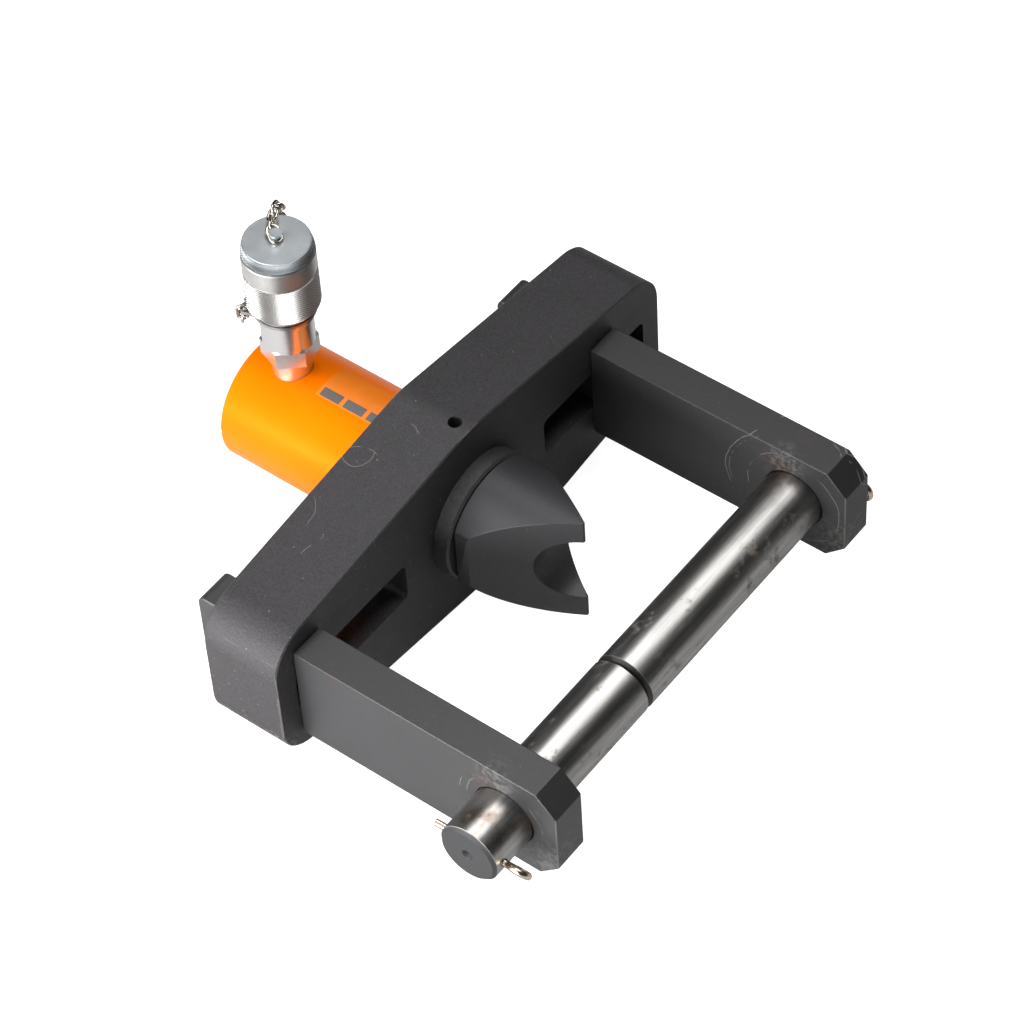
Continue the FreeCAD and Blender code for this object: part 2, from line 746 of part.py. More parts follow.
def make_return_spring():
    front = size(WEB_REAR + " + clear_gap")
    length = size(BORE_FLOOR + " - clear_gap") - front
    shape = coil(size("spring_mean_radius"), size("spring_wire"), size("spring_turns"), length)
    along_y = FreeCAD.Rotation(FreeCAD.Vector(1, 0, 0), -90)
    solid_piece("return_spring", shape, FreeCAD.Placement(FreeCAD.Vector(0, front, 0), along_y))


# Coupler

def make_coupler_body():
    low = "port_floor + seat_gap"
    body = turned("coupler_body", [
        ("coupler_bore_radius", low),
        ("coupler_thread_radius", low),
        ("coupler_thread_radius", "coupler_thread_top"),
        ("coupler_collar_radius", "hexagon_low"),
        ("coupler_collar_radius", "hexagon_high"),
        ("neck_radius", "hexagon_high"),
        ("neck_radius", "bead_low"),
        ("bead_radius", "bead_low"),
        ("bead_radius", "bead_high"),
        ("neck_radius", "bead_high"),
        ("neck_radius", "sleeve_low - seat_gap"),
        ("sleeve_lip_radius - running_gap", "sleeve_low - seat_gap"),
        ("sleeve_lip_radius - running_gap", FLANGE_LOW),
        ("flange_radius", FLANGE_LOW),
        ("flange_radius", FLANGE_HIGH),
        ("nose_radius", FLANGE_HIGH),
        ("nose_radius", "nose_high"),
        ("valve_seat_radius + seat_gap", "nose_high"),
        ("valve_seat_radius + seat_gap", "valve_chamber_high"),
        ("valve_chamber_radius", "valve_chamber_high"),
        ("valve_chamber_radius", "valve_chamber_low"),
        ("coupler_bore_radius", "valve_chamber_low"),
    ], "Z")
    hexagon = body.newObject("PartDesign::AdditivePrism", "coupler_hexagon")
    plane = [feature for feature in body.Origin.OriginFeatures if feature.Role == "XY_Plane"][0]
    hexagon.AttachmentSupport = (plane, [""])
    hexagon.MapMode = "FlatFace"
    hexagon.Polygon = 6
    bind(hexagon, "Circumradius", "hexagon_across / 2 / cos(30 deg)")
    bind(hexagon, "Height", "hexagon_high - hexagon_low")
    turn = FreeCAD.Rotation(FreeCAD.Vector(0, 0, 1), size("hexagon_angle"))
    hexagon.AttachmentOffset = FreeCAD.Placement(FreeCAD.Vector(), turn)
    bind(hexagon, "AttachmentOffset.Base.z", "hexagon_low")
    doc.recompute()
    role = "XY_Plane"
    bore = disc(body, role, "coupler_bore_radius", start=low)
    cut(body, bore, "valve_chamber_low - port_floor", role)
    place(body, y="port_place")


def make_coupler_sleeve():
    lip_high = "sleeve_low + sleeve_lip_height"
    body = turned("coupler_sleeve", [
        ("sleeve_lip_radius", "sleeve_low"),
        ("sleeve_radius - sleeve_chamfer", "sleeve_low"),
        ("sleeve_radius", "sleeve_low + sleeve_chamfer"),
        ("sleeve_radius", "sleeve_band_low - sleeve_groove_width"),
        ("sleeve_groove_radius", "sleeve_band_low - sleeve_groove_width"),
        ("sleeve_groove_radius", "sleeve_band_low"),
        ("sleeve_band_radius", "sleeve_band_low"),
        ("sleeve_band_radius", "sleeve_high"),
        ("sleeve_chamber_radius", "sleeve_high"),
        ("sleeve_chamber_radius", lip_high),
        ("sleeve_lip_radius", lip_high),
    ], "Z")
    place(body, y="port_place")


def make_sleeve_retaining_ring():
    """A snap ring under the sleeve, with its slit at the back."""
    high = "snap_ring_low + snap_ring_height"
    inner = "neck_radius + seat_gap"
    body = ring("sleeve_retaining_ring", inner, "snap_ring_radius", "snap_ring_low", high, "Z")
    role = "XY_Plane"
    corners = box_corners("-snap_ring_slit / 2", "snap_ring_slit / 2", "0", "snap_ring_radius * 2")
    slit = outline(body, role, corners, start="snap_ring_low")
    cut(body, slit, "snap_ring_height", role)
    place(body, y="port_place")


def make_valve():
    seat_high = "nose_high - seat_gap"
    seat = ring("valve_seat", "valve_seat_bore", "valve_seat_radius",
                "valve_chamber_high + seat_gap", seat_high, "Z")
    place(seat, y="port_place")
    head_high = "valve_chamber_high"
    head_low = "valve_chamber_high - poppet_head_height"
    poppet = turned("valve_poppet", [
        ("0", head_low + " - poppet_tail_height"),
        ("poppet_tail_radius", head_low + " - poppet_tail_height"),
        ("poppet_tail_radius", head_low),
        ("poppet_head_radius", head_low),
        ("poppet_head_radius", head_high),
        ("poppet_tip_radius", head_high),
        ("poppet_tip_radius", head_high + " + poppet_tip_height"),
        ("0", head_high + " + poppet_tip_height"),
    ], "Z")
    place(poppet, y="port_place")
    low = size("valve_chamber_low + seat_gap")
    length = size(head_low + " - seat_gap") - low
    shape = coil(size("poppet_spring_mean_radius"), size("poppet_spring_wire"),
                 size("poppet_spring_turns"), length)
    centre = FreeCAD.Vector(0, size("port_place"), low)
    solid_piece("poppet_spring", shape, FreeCAD.Placement(centre, FreeCAD.Rotation()))


def make_dust_cap():
    rivet_hole = "rivet_radius + running_gap"
    recess = "rivet_tail_radius + clear_gap"
    recess_high = "cap_inside_high + rivet_recess_height"
    cap = turned("dust_cap", [
        ("cap_inside_radius", "cap_shank_low"),
        ("cap_shank_radius", "cap_shank_low"),
        ("cap_shank_radius", "cap_head_low"),
        ("cap_head_radius", "cap_head_low"),
        ("cap_head_radius", "cap_head_high - cap_edge_height"),
        ("cap_head_radius - cap_edge_width", "cap_head_high"),
        (rivet_hole, "cap_head_high"),
        (rivet_hole, recess_high),
        (recess, recess_high),
        (recess, "cap_inside_high"),
        ("cap_inside_radius", "cap_inside_high"),
    ], "Z")
    place(cap, y="port_place")
    gasket_high = "cap_inside_high - seat_gap"
    gasket_low = gasket_high + " - gasket_thickness"
    gasket_corners = box_corners("0", "gasket_radius", gasket_low, gasket_high)
    place(turned("cap_gasket", gasket_corners, "Z"), y="port_place")
    tail_high = recess_high + " - seat_gap"
    rivet = turned("cap_rivet", [
        ("0", tail_high + " - rivet_tail_height"),
        ("rivet_tail_radius", tail_high + " - rivet_tail_height"),
        ("rivet_tail_radius", tail_high),
        ("rivet_radius", tail_high),
        ("rivet_radius", "rivet_neck_high"),
        ("rivet_head_radius", "rivet_neck_high"),
        ("rivet_head_radius", "rivet_neck_high + rivet_head_height"),
        ("0", "rivet_neck_high + rivet_head_height"),
    ], "Z")
    place(rivet, y="port_place")


# Chain from the cap to the ring on the coupler's neck

def make_chain_ring():
    """A stamped split ring with an ear for the chain."""
    body = new_body("chain_ring")
    role = "XY_Plane"
    thickness = "chain_ring_thickness"
    pad(body, disc(body, role, "chain_ring_outer", start="chain_ring_low"), thickness, role)
    ear = disc(body, role, "chain_ear_radius", ("chain_ear_place", "0"), start="chain_ring_low")
    pad(body, ear, thickness, role)
    flank = [
        ("0", "-chain_ring_outer"),
        ("chain_ear_place", "-chain_ear_radius"),
        ("chain_ear_place", "chain_ear_radius"),
        ("0", "chain_ring_outer"),
    ]
    pad(body, outline(body, role, flank, start="chain_ring_low"), thickness, role)
    cut(body, disc(body, role, "chain_ring_inner", start="chain_ring_low"), thickness, role)
    hole = disc(body, role, "chain_ear_hole_radius", ("chain_ear_place", "0"),
                start="chain_ring_low")
    cut(body, hole, thickness, role)
    corners = box_corners("-chain_ring_outer * 2", "0", "-chain_ring_slit / 2", "chain_ring_slit / 2")
    cut(body, outline(body, role, corners, start="chain_ring_low"), thickness, role)
    turn = FreeCAD.Rotation(FreeCAD.Vector(0, 0, 1), size("chain_ear_angle"))
    body.Placement = FreeCAD.Placement(FreeCAD.Vector(), turn)
    place(body, y="port_place")


def link_shape(inner_length, inner_half_width):
    """A round-wire link: its length along X, its width along Y, its middle at the origin."""
    wire = size("chain_wire_radius")
    bend = inner_half_width + wire
    half_straight = inner_length / 2 + wire - bend
    upright = FreeCAD.Vector(0, 0, 1)
    pieces = []
    for side in (1, -1):
        end = Part.makeTorus(bend, wire, FreeCAD.Vector(), upright, -180, 180, 180)
        end.rotate(FreeCAD.Vector(), upright, -90 * side)
        end.translate(FreeCAD.Vector(half_straight * side, 0, 0))
        pieces.append(end)
        start = FreeCAD.Vector(-half_straight, bend * side, 0)
        pieces.append(Part.makeCylinder(wire, half_straight * 2, start, FreeCAD.Vector(1, 0, 0)))
    return pieces[0].multiFuse(pieces[1:]).removeSplitter()


def set_along(shape, middle, direction, width):
    """Put a link at a middle point, along a direction, with its width the other way."""
    along = FreeCAD.Vector(direction).normalize()
    across = (width - along * width.dot(along)).normalize()
    turn = FreeCAD.Rotation(along, across, along.cross(across), "XYZ")
    moved = shape.copy()
    moved.Placement = FreeCAD.Placement(middle, turn)
    return moved


def around_coupler(turn, radius, height):
    """A point by its angle and distance from the coupler's axis and its height."""
    angle = math.radians(turn)
    return FreeCAD.Vector(radius * math.cos(angle), radius * math.sin(angle), height)


def eye_places():
    """The middle and direction of the eye link round the rivet, and the point of its far joint."""
    wire = size("chain_wire_radius")
    near = size("eye_inner_length / 2 - rivet_radius - chain_slack / 2")
    far = near + size("eye_inner_length / 2 - chain_slack / 2")
    low = size("cap_head_high + seat_gap")
    joint_height = low + 2 * wire + size("link_inner_half_width")
    back = size("eye_inner_length / 2 + chain_wire_radius") - near
    rise = (joint_height - low - wire) / (far + back)
    direction = around_coupler(size("eye_angle"), math.sqrt(1 - rise ** 2), rise)
    stem = FreeCAD.Vector(0, 0, joint_height) - FreeCAD.Vector(0, 0, direction.z * far)
    return stem + direction * near, direction, stem + direction * far


def chain_joints(start, end):
    """Points where links meet, evenly along a curve from the cap, over its rim, to the ear."""
    outside = "sleeve_radius + clear_gap + link_inner_half_width + chain_wire_radius * 2"
    top = "cap_head_high + seat_gap + chain_wire_radius * 2 + link_inner_half_width + rim_lift"
    route = [
        ("crest_angle", "crest_reach", top),
        ("rim_angle", outside + " - rim_inset", top),
        ("side_angle", outside + " + side_bow", "cap_head_high - side_drop"),
        ("middle_angle", outside + " + middle_bow", "cap_head_high - middle_drop"),
        ("lower_angle", outside + " + lower_bow", "chain_ring_low + lower_rise"),
        ("hang_angle", outside + " + lower_bow", "chain_ring_low"),
        ("sag_start_angle", outside, "chain_ring_low - sag_depth"),
        ("sag_end_angle", outside + " - sag_tuck", "chain_ring_low - sag_depth"),
    ]
    points = [around_coupler(size(turn), size(reach), size(height)) for turn, reach, height in route]
    curve = Part.BSplineCurve()
    curve.interpolate([start] + points + [end])
    spacing = size("link_inner_length - chain_slack")
    count = math.ceil(curve.length() / spacing)
    count += count % 2
    return curve.toShape().discretize(Number=count + 1)


def make_chain():
    """Links alternate flat and standing, from the eye round the rivet to the chain ring's ear."""
    axis = FreeCAD.Vector(0, size("port_place"), 0)
    eye_middle, eye_direction, start = eye_places()
    eye = link_shape(size("eye_inner_length"), size("eye_inner_half_width"))
    sideways = FreeCAD.Vector(0, 0, 1).cross(eye_direction)
    eye_shape = set_along(eye, eye_middle, eye_direction, sideways)
    to_coupler = FreeCAD.Placement(axis, FreeCAD.Rotation())
    solid_piece("cap_chain_eye", eye_shape, to_coupler * eye_shape.Placement)

    link = link_shape(size("link_inner_length"), size("link_inner_half_width"))
    outer_edge = size("chain_ear_place + (chain_ear_hole_radius + chain_ear_radius) / 2")
    last_top = size(CHAIN_RING_HIGH + " + chain_slack")
    ear_turn = size("chain_ear_angle")
    last_middle = around_coupler(ear_turn, outer_edge, last_top - size("link_inner_length / 2"))
    down = FreeCAD.Vector(0, 0, size("link_inner_length / 2 - chain_slack / 2"))
    joints = chain_joints(start, last_middle - down)
    core_high = size("sleeve_high")
    links = []
    for number, (near, far) in enumerate(zip(joints, joints[1:])):
        middle = (near + far) * 0.5
        direction = far - near
        core = FreeCAD.Vector(0, 0, min(middle.z, core_high))
        outward = middle - core
        standing = number % 2 == 0
        width = outward if standing else outward.cross(direction)
        links.append(set_along(link, middle, direction, width))
    radial = around_coupler(ear_turn, 1, 0)
    links.append(set_along(link, last_middle, FreeCAD.Vector(0, 0, 1), radial))
    chain = Part.makeCompound(links)
    solid_piece("chain_links", chain, to_coupler)


def check_and_write():
    """Stop on any failed object or shape, then write one file for each piece."""
    doc.recompute()
    for thing in doc.Objects:
        if "Invalid" in thing.State or "Error" in thing.State:
            raise RuntimeError("Failed: " + thing.Label)
    for piece in made:
        if piece.Shape.isNull() or not piece.Shape.isValid():
            raise RuntimeError("Bad shape: " + piece.Label)
    os.makedirs("parts", exist_ok=True)
    for piece in made:
        piece.Shape.exportStep("parts/%s.step" % piece.Label)
        print(piece.Label, len(piece.Shape.Solids), round(piece.Shape.Volume, 1))


make_crosshead()
make_lock_screw()
make_arm("left_arm", "-left_arm_place")
make_arm("right_arm", "right_arm_place")
SHORT_PIN_OUTER = "-pin_meeting_place - clear_gap / 2 - short_pin_length"
LONG_PIN_OUTER = "long_pin_length + clear_gap / 2 - pin_meeting_place"
make_pin("short_pin", "short_pin_length", SHORT_PIN_OUTER, 0)
make_pin("long_pin", "long_pin_length", LONG_PIN_OUTER, 180)
make_cotter("short_pin_cotter", SHORT_PIN_OUTER, 1, size("short_pin_cotter_angle"))
make_cotter("long_pin_cotter", LONG_PIN_OUTER, -1, size("long_pin_cotter_angle"))
make_cylinder()
make_plunger()
make_ram_rings()
make_wedge_head()
make_head_stud()
make_anchors()
make_return_spring()
make_coupler_body()
make_coupler_sleeve()
make_sleeve_retaining_ring()
make_valve()
make_dust_cap()
make_chain_ring()
make_chain()
check_and_write()
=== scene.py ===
import bpy
import json
import math
from mathutils import Matrix, Vector

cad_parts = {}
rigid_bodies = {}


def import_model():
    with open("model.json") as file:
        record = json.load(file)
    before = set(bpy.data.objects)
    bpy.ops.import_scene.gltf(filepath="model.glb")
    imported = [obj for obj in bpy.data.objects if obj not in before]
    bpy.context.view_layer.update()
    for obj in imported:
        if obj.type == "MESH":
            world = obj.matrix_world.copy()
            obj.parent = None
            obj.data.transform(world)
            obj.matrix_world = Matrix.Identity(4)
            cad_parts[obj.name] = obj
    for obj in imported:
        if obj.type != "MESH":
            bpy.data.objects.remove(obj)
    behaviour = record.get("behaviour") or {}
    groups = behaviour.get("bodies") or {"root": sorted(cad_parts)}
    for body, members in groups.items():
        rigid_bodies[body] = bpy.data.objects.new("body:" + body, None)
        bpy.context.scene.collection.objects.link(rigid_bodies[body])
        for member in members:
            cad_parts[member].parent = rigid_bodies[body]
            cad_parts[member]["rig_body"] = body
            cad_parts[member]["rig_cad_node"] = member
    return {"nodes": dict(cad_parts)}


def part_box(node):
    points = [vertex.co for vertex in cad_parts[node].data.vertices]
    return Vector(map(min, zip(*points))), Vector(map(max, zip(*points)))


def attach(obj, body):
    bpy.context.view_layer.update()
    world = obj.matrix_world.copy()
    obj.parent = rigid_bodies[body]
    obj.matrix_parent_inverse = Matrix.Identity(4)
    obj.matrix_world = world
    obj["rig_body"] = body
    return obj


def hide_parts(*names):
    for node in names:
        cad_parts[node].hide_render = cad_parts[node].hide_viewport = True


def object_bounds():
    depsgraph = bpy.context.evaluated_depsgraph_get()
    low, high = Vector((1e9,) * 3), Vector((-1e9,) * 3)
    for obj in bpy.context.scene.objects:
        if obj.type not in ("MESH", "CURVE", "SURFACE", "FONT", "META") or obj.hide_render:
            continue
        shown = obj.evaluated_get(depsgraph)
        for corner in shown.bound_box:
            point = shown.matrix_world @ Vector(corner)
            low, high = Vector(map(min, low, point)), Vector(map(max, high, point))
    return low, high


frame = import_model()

# Hydraulic flange spreader: finishes, a knurled coupler and a studio at the photograph's angle.
# Metres. The ram axis is the Y axis, the crosshead's front face is y = 0, and Z is up.

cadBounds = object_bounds()
nodes = frame["nodes"]
joinedAtRest = 1e-6  # corners closer than this are one corner


# Small helpers

def selectOnly(piece):
    bpy.ops.object.select_all(action="DESELECT")
    piece.select_set(True)
    bpy.context.view_layer.objects.active = piece


# Enter edit mode with only the faces or edges that pass a test selected, or with all.
def editMesh(piece, faceTest=None, edgeTest=None):
    selectOnly(piece)
    bpy.ops.object.mode_set(mode="EDIT")
    bpy.ops.mesh.select_mode(type="FACE" if faceTest else "EDGE" if edgeTest else "VERT")
    bpy.ops.mesh.select_all(action="DESELECT" if faceTest or edgeTest else "SELECT")
    if faceTest or edgeTest:
        bpy.ops.object.mode_set(mode="OBJECT")
        mesh = piece.data
        if faceTest:
            for face in mesh.polygons:
                face.select = faceTest(face.center, face.normal)
        else:
            for edge in mesh.edges:
                ends = [mesh.vertices[index].co for index in edge.vertices]
                edge.select = edgeTest((ends[0] + ends[1]) / 2)
        bpy.ops.object.mode_set(mode="EDIT")


def applyModifier(piece, kind, **settings):
    selectOnly(piece)
    modifier = piece.modifiers.new(kind.lower(), kind)
    for name, value in settings.items():
        setattr(modifier, name, value)
    bpy.ops.object.modifier_apply(modifier=modifier.name)


def smoothByAngle(piece, degrees):
    selectOnly(piece)
    bpy.ops.object.shade_smooth_by_angle(angle=math.radians(degrees))


# Give a new piece its place, material slot and body.
def finishPiece(piece, body, material, replaced=()):
    piece.data.materials.clear()
    piece.data.materials.append(material)
    if replaced:
        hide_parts(*replaced)
    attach(piece, body)


# Material helpers

def newMaterial(name):
    material = bpy.data.materials.new(name)
    material.use_nodes = True
    tree = material.node_tree
    shader = tree.nodes["Principled BSDF"]
    place = tree.nodes.new("ShaderNodeTexCoord").outputs["Object"]
    return material, tree, shader, place


# Link a socket to another one, or set it to a number, colour or vector.
def setInput(tree, socket, value):
    if hasattr(value, "links"):
        tree.links.new(value, socket)
    elif isinstance(value, tuple) and socket.type == "RGBA" and len(value) == 3:
        socket.default_value = value + (1,)
    else:
        socket.default_value = value


def calc(tree, operation, *values, clamp=False):
    node = tree.nodes.new("ShaderNodeMath")
    node.operation = operation
    node.use_clamp = clamp
    for socket, value in zip(node.inputs, values):
        setInput(tree, socket, value)
    return node.outputs[0]


def vectorMath(tree, operation, *values):
    node = tree.nodes.new("ShaderNodeVectorMath")
    node.operation = operation
    for socket, value in zip(node.inputs, values):
        setInput(tree, socket, value)
    return node.outputs["Value" if operation in ("LENGTH", "DISTANCE", "DOT_PRODUCT") else "Vector"]


# A smooth step of a value between low and high.
def ramp(tree, value, low, high, atLow=0.0, atHigh=1.0):
    node = tree.nodes.new("ShaderNodeMapRange")
    node.interpolation_type = "SMOOTHSTEP"
    for name, setting in (("Value", value), ("From Min", low), ("From Max", high),
                          ("To Min", atLow), ("To Max", atHigh)):
        setInput(tree, node.inputs[name], setting)
    return node.outputs["Result"]


# A Mix node repeats its socket names for each kind of data, so colours and values go in by number.
def mixColor(tree, factor, first, second):
    node = tree.nodes.new("ShaderNodeMix")
    node.data_type = "RGBA"
    setInput(tree, node.inputs["Factor"], factor)
    setInput(tree, node.inputs[6], first)
    setInput(tree, node.inputs[7], second)
    return node.outputs[2]


def mixValue(tree, factor, first, second):
    node = tree.nodes.new("ShaderNodeMix")
    setInput(tree, node.inputs["Factor"], factor)
    setInput(tree, node.inputs[2], first)
    setInput(tree, node.inputs[3], second)
    return node.outputs[0]


def noise(tree, place, scale, detail=4.0, roughness=0.55, stretch=None):
    if stretch:
        mapping = tree.nodes.new("ShaderNodeMapping")
        setInput(tree, mapping.inputs["Vector"], place)
        mapping.inputs["Scale"].default_value = stretch
        place = mapping.outputs["Vector"]
    node = tree.nodes.new("ShaderNodeTexNoise")
    setInput(tree, node.inputs["Vector"], place)
    node.inputs["Scale"].default_value = scale
    node.inputs["Detail"].default_value = detail
    node.inputs["Roughness"].default_value = roughness
    return node.outputs["Fac"]


def bump(tree, height, strength, distance):
    node = tree.nodes.new("ShaderNodeBump")
    node.inputs["Strength"].default_value = strength
    node.inputs["Distance"].default_value = distance
    setInput(tree, node.inputs["Height"], height)
    return node.outputs["Normal"]


def axisOf(tree, place, axis):
    node = tree.nodes.new("ShaderNodeSeparateXYZ")
    tree.links.new(place, node.inputs[0])
    return node.outputs[axis]


# Shared effects, each a node group

def newGroup(name, inputs, outputs):
    group = bpy.data.node_groups.new(name, "ShaderNodeTree")
    for label, kind, value in inputs:
        socket = group.interface.new_socket(label, in_out="INPUT", socket_type=kind)
        if value is not None:
            socket.default_value = value
    for label, kind in outputs:
        group.interface.new_socket(label, in_out="OUTPUT", socket_type=kind)
    return group, group.nodes.new("NodeGroupInput").outputs, group.nodes.new("NodeGroupOutput").inputs


def useGroup(tree, group, **values):
    node = tree.nodes.new("ShaderNodeGroup")
    node.node_tree = group
    for name, value in values.items():
        setInput(tree, node.inputs[name], value)
    return node.outputs


# The fine grain of a blasted, blackened surface, and rare pale specks painted into the colour as glints:
# painted highlights.
def makeBlastGrain():
    group, given, out = newGroup("blastGrain", [("Place", "NodeSocketVector", None)],
                                 [("Grain", "NodeSocketFloat"), ("PaintedGlint", "NodeSocketFloat")])
    fine = noise(group, given["Place"], 2100, 2)
    coarse = noise(group, given["Place"], 800, 3)
    grain = mixValue(group, 0.4, fine, coarse)
    group.links.new(ramp(group, grain, 0.34, 0.68), out["Grain"])
    specks = group.nodes.new("ShaderNodeTexVoronoi")
    specks.inputs["Scale"].default_value = 420
    group.links.new(given["Place"], specks.inputs["Vector"])
    near = ramp(group, specks.outputs["Distance"], 0.10, 0.16, 1.0, 0.0)
    rare = ramp(group, axisOf(group, specks.outputs["Color"], 0), 0.93, 0.95)
    group.links.new(calc(group, "MULTIPLY", near, rare), out["PaintedGlint"])
    return group


# A mask along the twelve edges of a box, broken up by noise.
def makeBoxRub():
    group, given, out = newGroup("boxRub", [
        ("Place", "NodeSocketVector", None), ("Low", "NodeSocketVector", None),
        ("High", "NodeSocketVector", None), ("Width", "NodeSocketFloat", 0.001)],
        [("Rub", "NodeSocketFloat")])
    fromLow = vectorMath(group, "ABSOLUTE", vectorMath(group, "SUBTRACT", given["Place"], given["Low"]))
    fromHigh = vectorMath(group, "ABSOLUTE", vectorMath(group, "SUBTRACT", given["High"], given["Place"]))
    least = vectorMath(group, "MINIMUM", fromLow, fromHigh)
    x, y, z = (axisOf(group, least, axis) for axis in range(3))
    middle = calc(group, "MAXIMUM", calc(group, "MINIMUM", x, y),
                   calc(group, "MINIMUM", calc(group, "MAXIMUM", x, y), z))
    uneven = calc(group, "MULTIPLY", noise(group, given["Place"], 160, 4), given["Width"])
    near = calc(group, "SUBTRACT", 1.0, calc(group, "DIVIDE", middle, calc(group, "ADD", uneven, 1e-5)),
                 clamp=True)
    group.links.new(near, out["Rub"])
    return group


# Brown staining with dark pits.
def makeRust():
    group, given, out = newGroup("rustStain", [
        ("Place", "NodeSocketVector", None), ("Amount", "NodeSocketFloat", 0.5)],
        [("Stain", "NodeSocketFloat"), ("Pits", "NodeSocketFloat")])
    broad = noise(group, given["Place"], 45, 5, 0.6)
    fine = noise(group, given["Place"], 260, 5, 0.65)
    both = calc(group, "ADD", calc(group, "MULTIPLY", broad, 0.65), calc(group, "MULTIPLY", fine, 0.35))
    edge = calc(group, "SUBTRACT", 0.78, calc(group, "MULTIPLY", given["Amount"], 0.4))
    stain = ramp(group, both, edge, calc(group, "ADD", edge, 0.12))
    group.links.new(stain, out["Stain"])
    pits = group.nodes.new("ShaderNodeTexVoronoi")
    pits.inputs["Scale"].default_value = 700
    group.links.new(given["Place"], pits.inputs["Vector"])
    hole = ramp(group, pits.outputs["Distance"], 0.16, 0.30, 1.0, 0.0)
    group.links.new(calc(group, "MULTIPLY", hole, stain), out["Pits"])
    return group


# A thin broken arc round a centre, kept to what lies within reach of its middle.
def makeArcScratch():
    group, given, out = newGroup("arcScratch", [
        ("Place", "NodeSocketVector", None), ("Centre", "NodeSocketVector", None),
        ("Radius", "NodeSocketFloat", 0.01), ("Width", "NodeSocketFloat", 0.0002),
        ("Keep", "NodeSocketFloat", 0.5), ("Middle", "NodeSocketVector", None),
        ("Reach", "NodeSocketFloat", 0.1)],
        [("Scratch", "NodeSocketFloat")])
    away = vectorMath(group, "LENGTH", vectorMath(group, "SUBTRACT", given["Place"], given["Centre"]))
    wander = calc(group, "MULTIPLY", calc(group, "SUBTRACT", noise(group, given["Place"], 60, 2), 0.5), 0.004)
    off = calc(group, "ABSOLUTE", calc(group, "SUBTRACT", calc(group, "ADD", away, wander), given["Radius"]))
    line = calc(group, "SUBTRACT", 1.0, calc(group, "DIVIDE", off, given["Width"]), clamp=True)
    broken = ramp(group, noise(group, given["Place"], 70, 3), given["Keep"],
                  calc(group, "ADD", given["Keep"], 0.06))
    fromMiddle = vectorMath(group, "DISTANCE", given["Place"], given["Middle"])
    near = ramp(group, fromMiddle, calc(group, "MULTIPLY", given["Reach"], 0.7), given["Reach"], 1.0, 0.0)
    kept = calc(group, "MULTIPLY", near, broken)
    group.links.new(calc(group, "MULTIPLY", line, kept), out["Scratch"])
    return group


blastGrain = makeBlastGrain()
boxRub = makeBoxRub()
rustStain = makeRust()
arcScratch = makeArcScratch()
print("effects ready")


# Materials

blackFinish = {
    "crosshead": {"base": (0.026, 0.0235, 0.026), "light": (0.071, 0.067, 0.071),
                  "rubbedAndGlint": (0.27, 0.26, 0.24), "rough": 0.50, "grain": 0.55},
    # The two arms are one steel: the left arm's tones are painted lighter and the right arm's darker, as
    # painted light and shade.
    "left_arm": {"base": (0.038, 0.038, 0.040), "light": (0.085, 0.084, 0.086), "rubbedAndGlint": (0.24, 0.23, 0.21),
                 "rough": 0.40, "grain": 0.16},
    "right_arm": {"base": (0.026, 0.026, 0.028), "light": (0.058, 0.057, 0.059), "rubbedAndGlint": (0.24, 0.23, 0.21),
                  "rough": 0.46, "grain": 0.16},
    "head": {"base": (0.034, 0.034, 0.037), "light": (0.080, 0.080, 0.084), "rubbedAndGlint": (0.22, 0.21, 0.20),
             "rough": 0.42, "grain": 0.18},
}

rustFinish = {"brown": (0.13, 0.05, 0.03), "strength": 0.25}
# The first entry sets how strongly the pale glint specks are painted into the colour: painted highlights.
wearFinish = {"paintedGlint": 1.5, "edgeRub": 0.8, "scratch": 0.9, "unevenRough": 0.16, "grainDepth": 0.0002}


# A soft spot round a point, broken by noise.
def spot(tree, place, centre, reach, scale=260):
    away = vectorMath(tree, "DISTANCE", place, centre)
    near = ramp(tree, away, reach * 0.3, reach, 1.0, 0.0)
    return calc(tree, "MULTIPLY", near, ramp(tree, noise(tree, place, scale, 4), 0.42, 0.62))


# A thin broken line where one coordinate has a value, used to paint highlight lines.
def thinLine(tree, place, axis, value, width, keep=0.5):
    off = calc(tree, "ABSOLUTE", calc(tree, "SUBTRACT", axisOf(tree, place, axis), value))
    line = calc(tree, "SUBTRACT", 1.0, calc(tree, "DIVIDE", off, width), clamp=True)
    return calc(tree, "MULTIPLY", line, ramp(tree, noise(tree, place, 90, 4), keep, keep + 0.08))
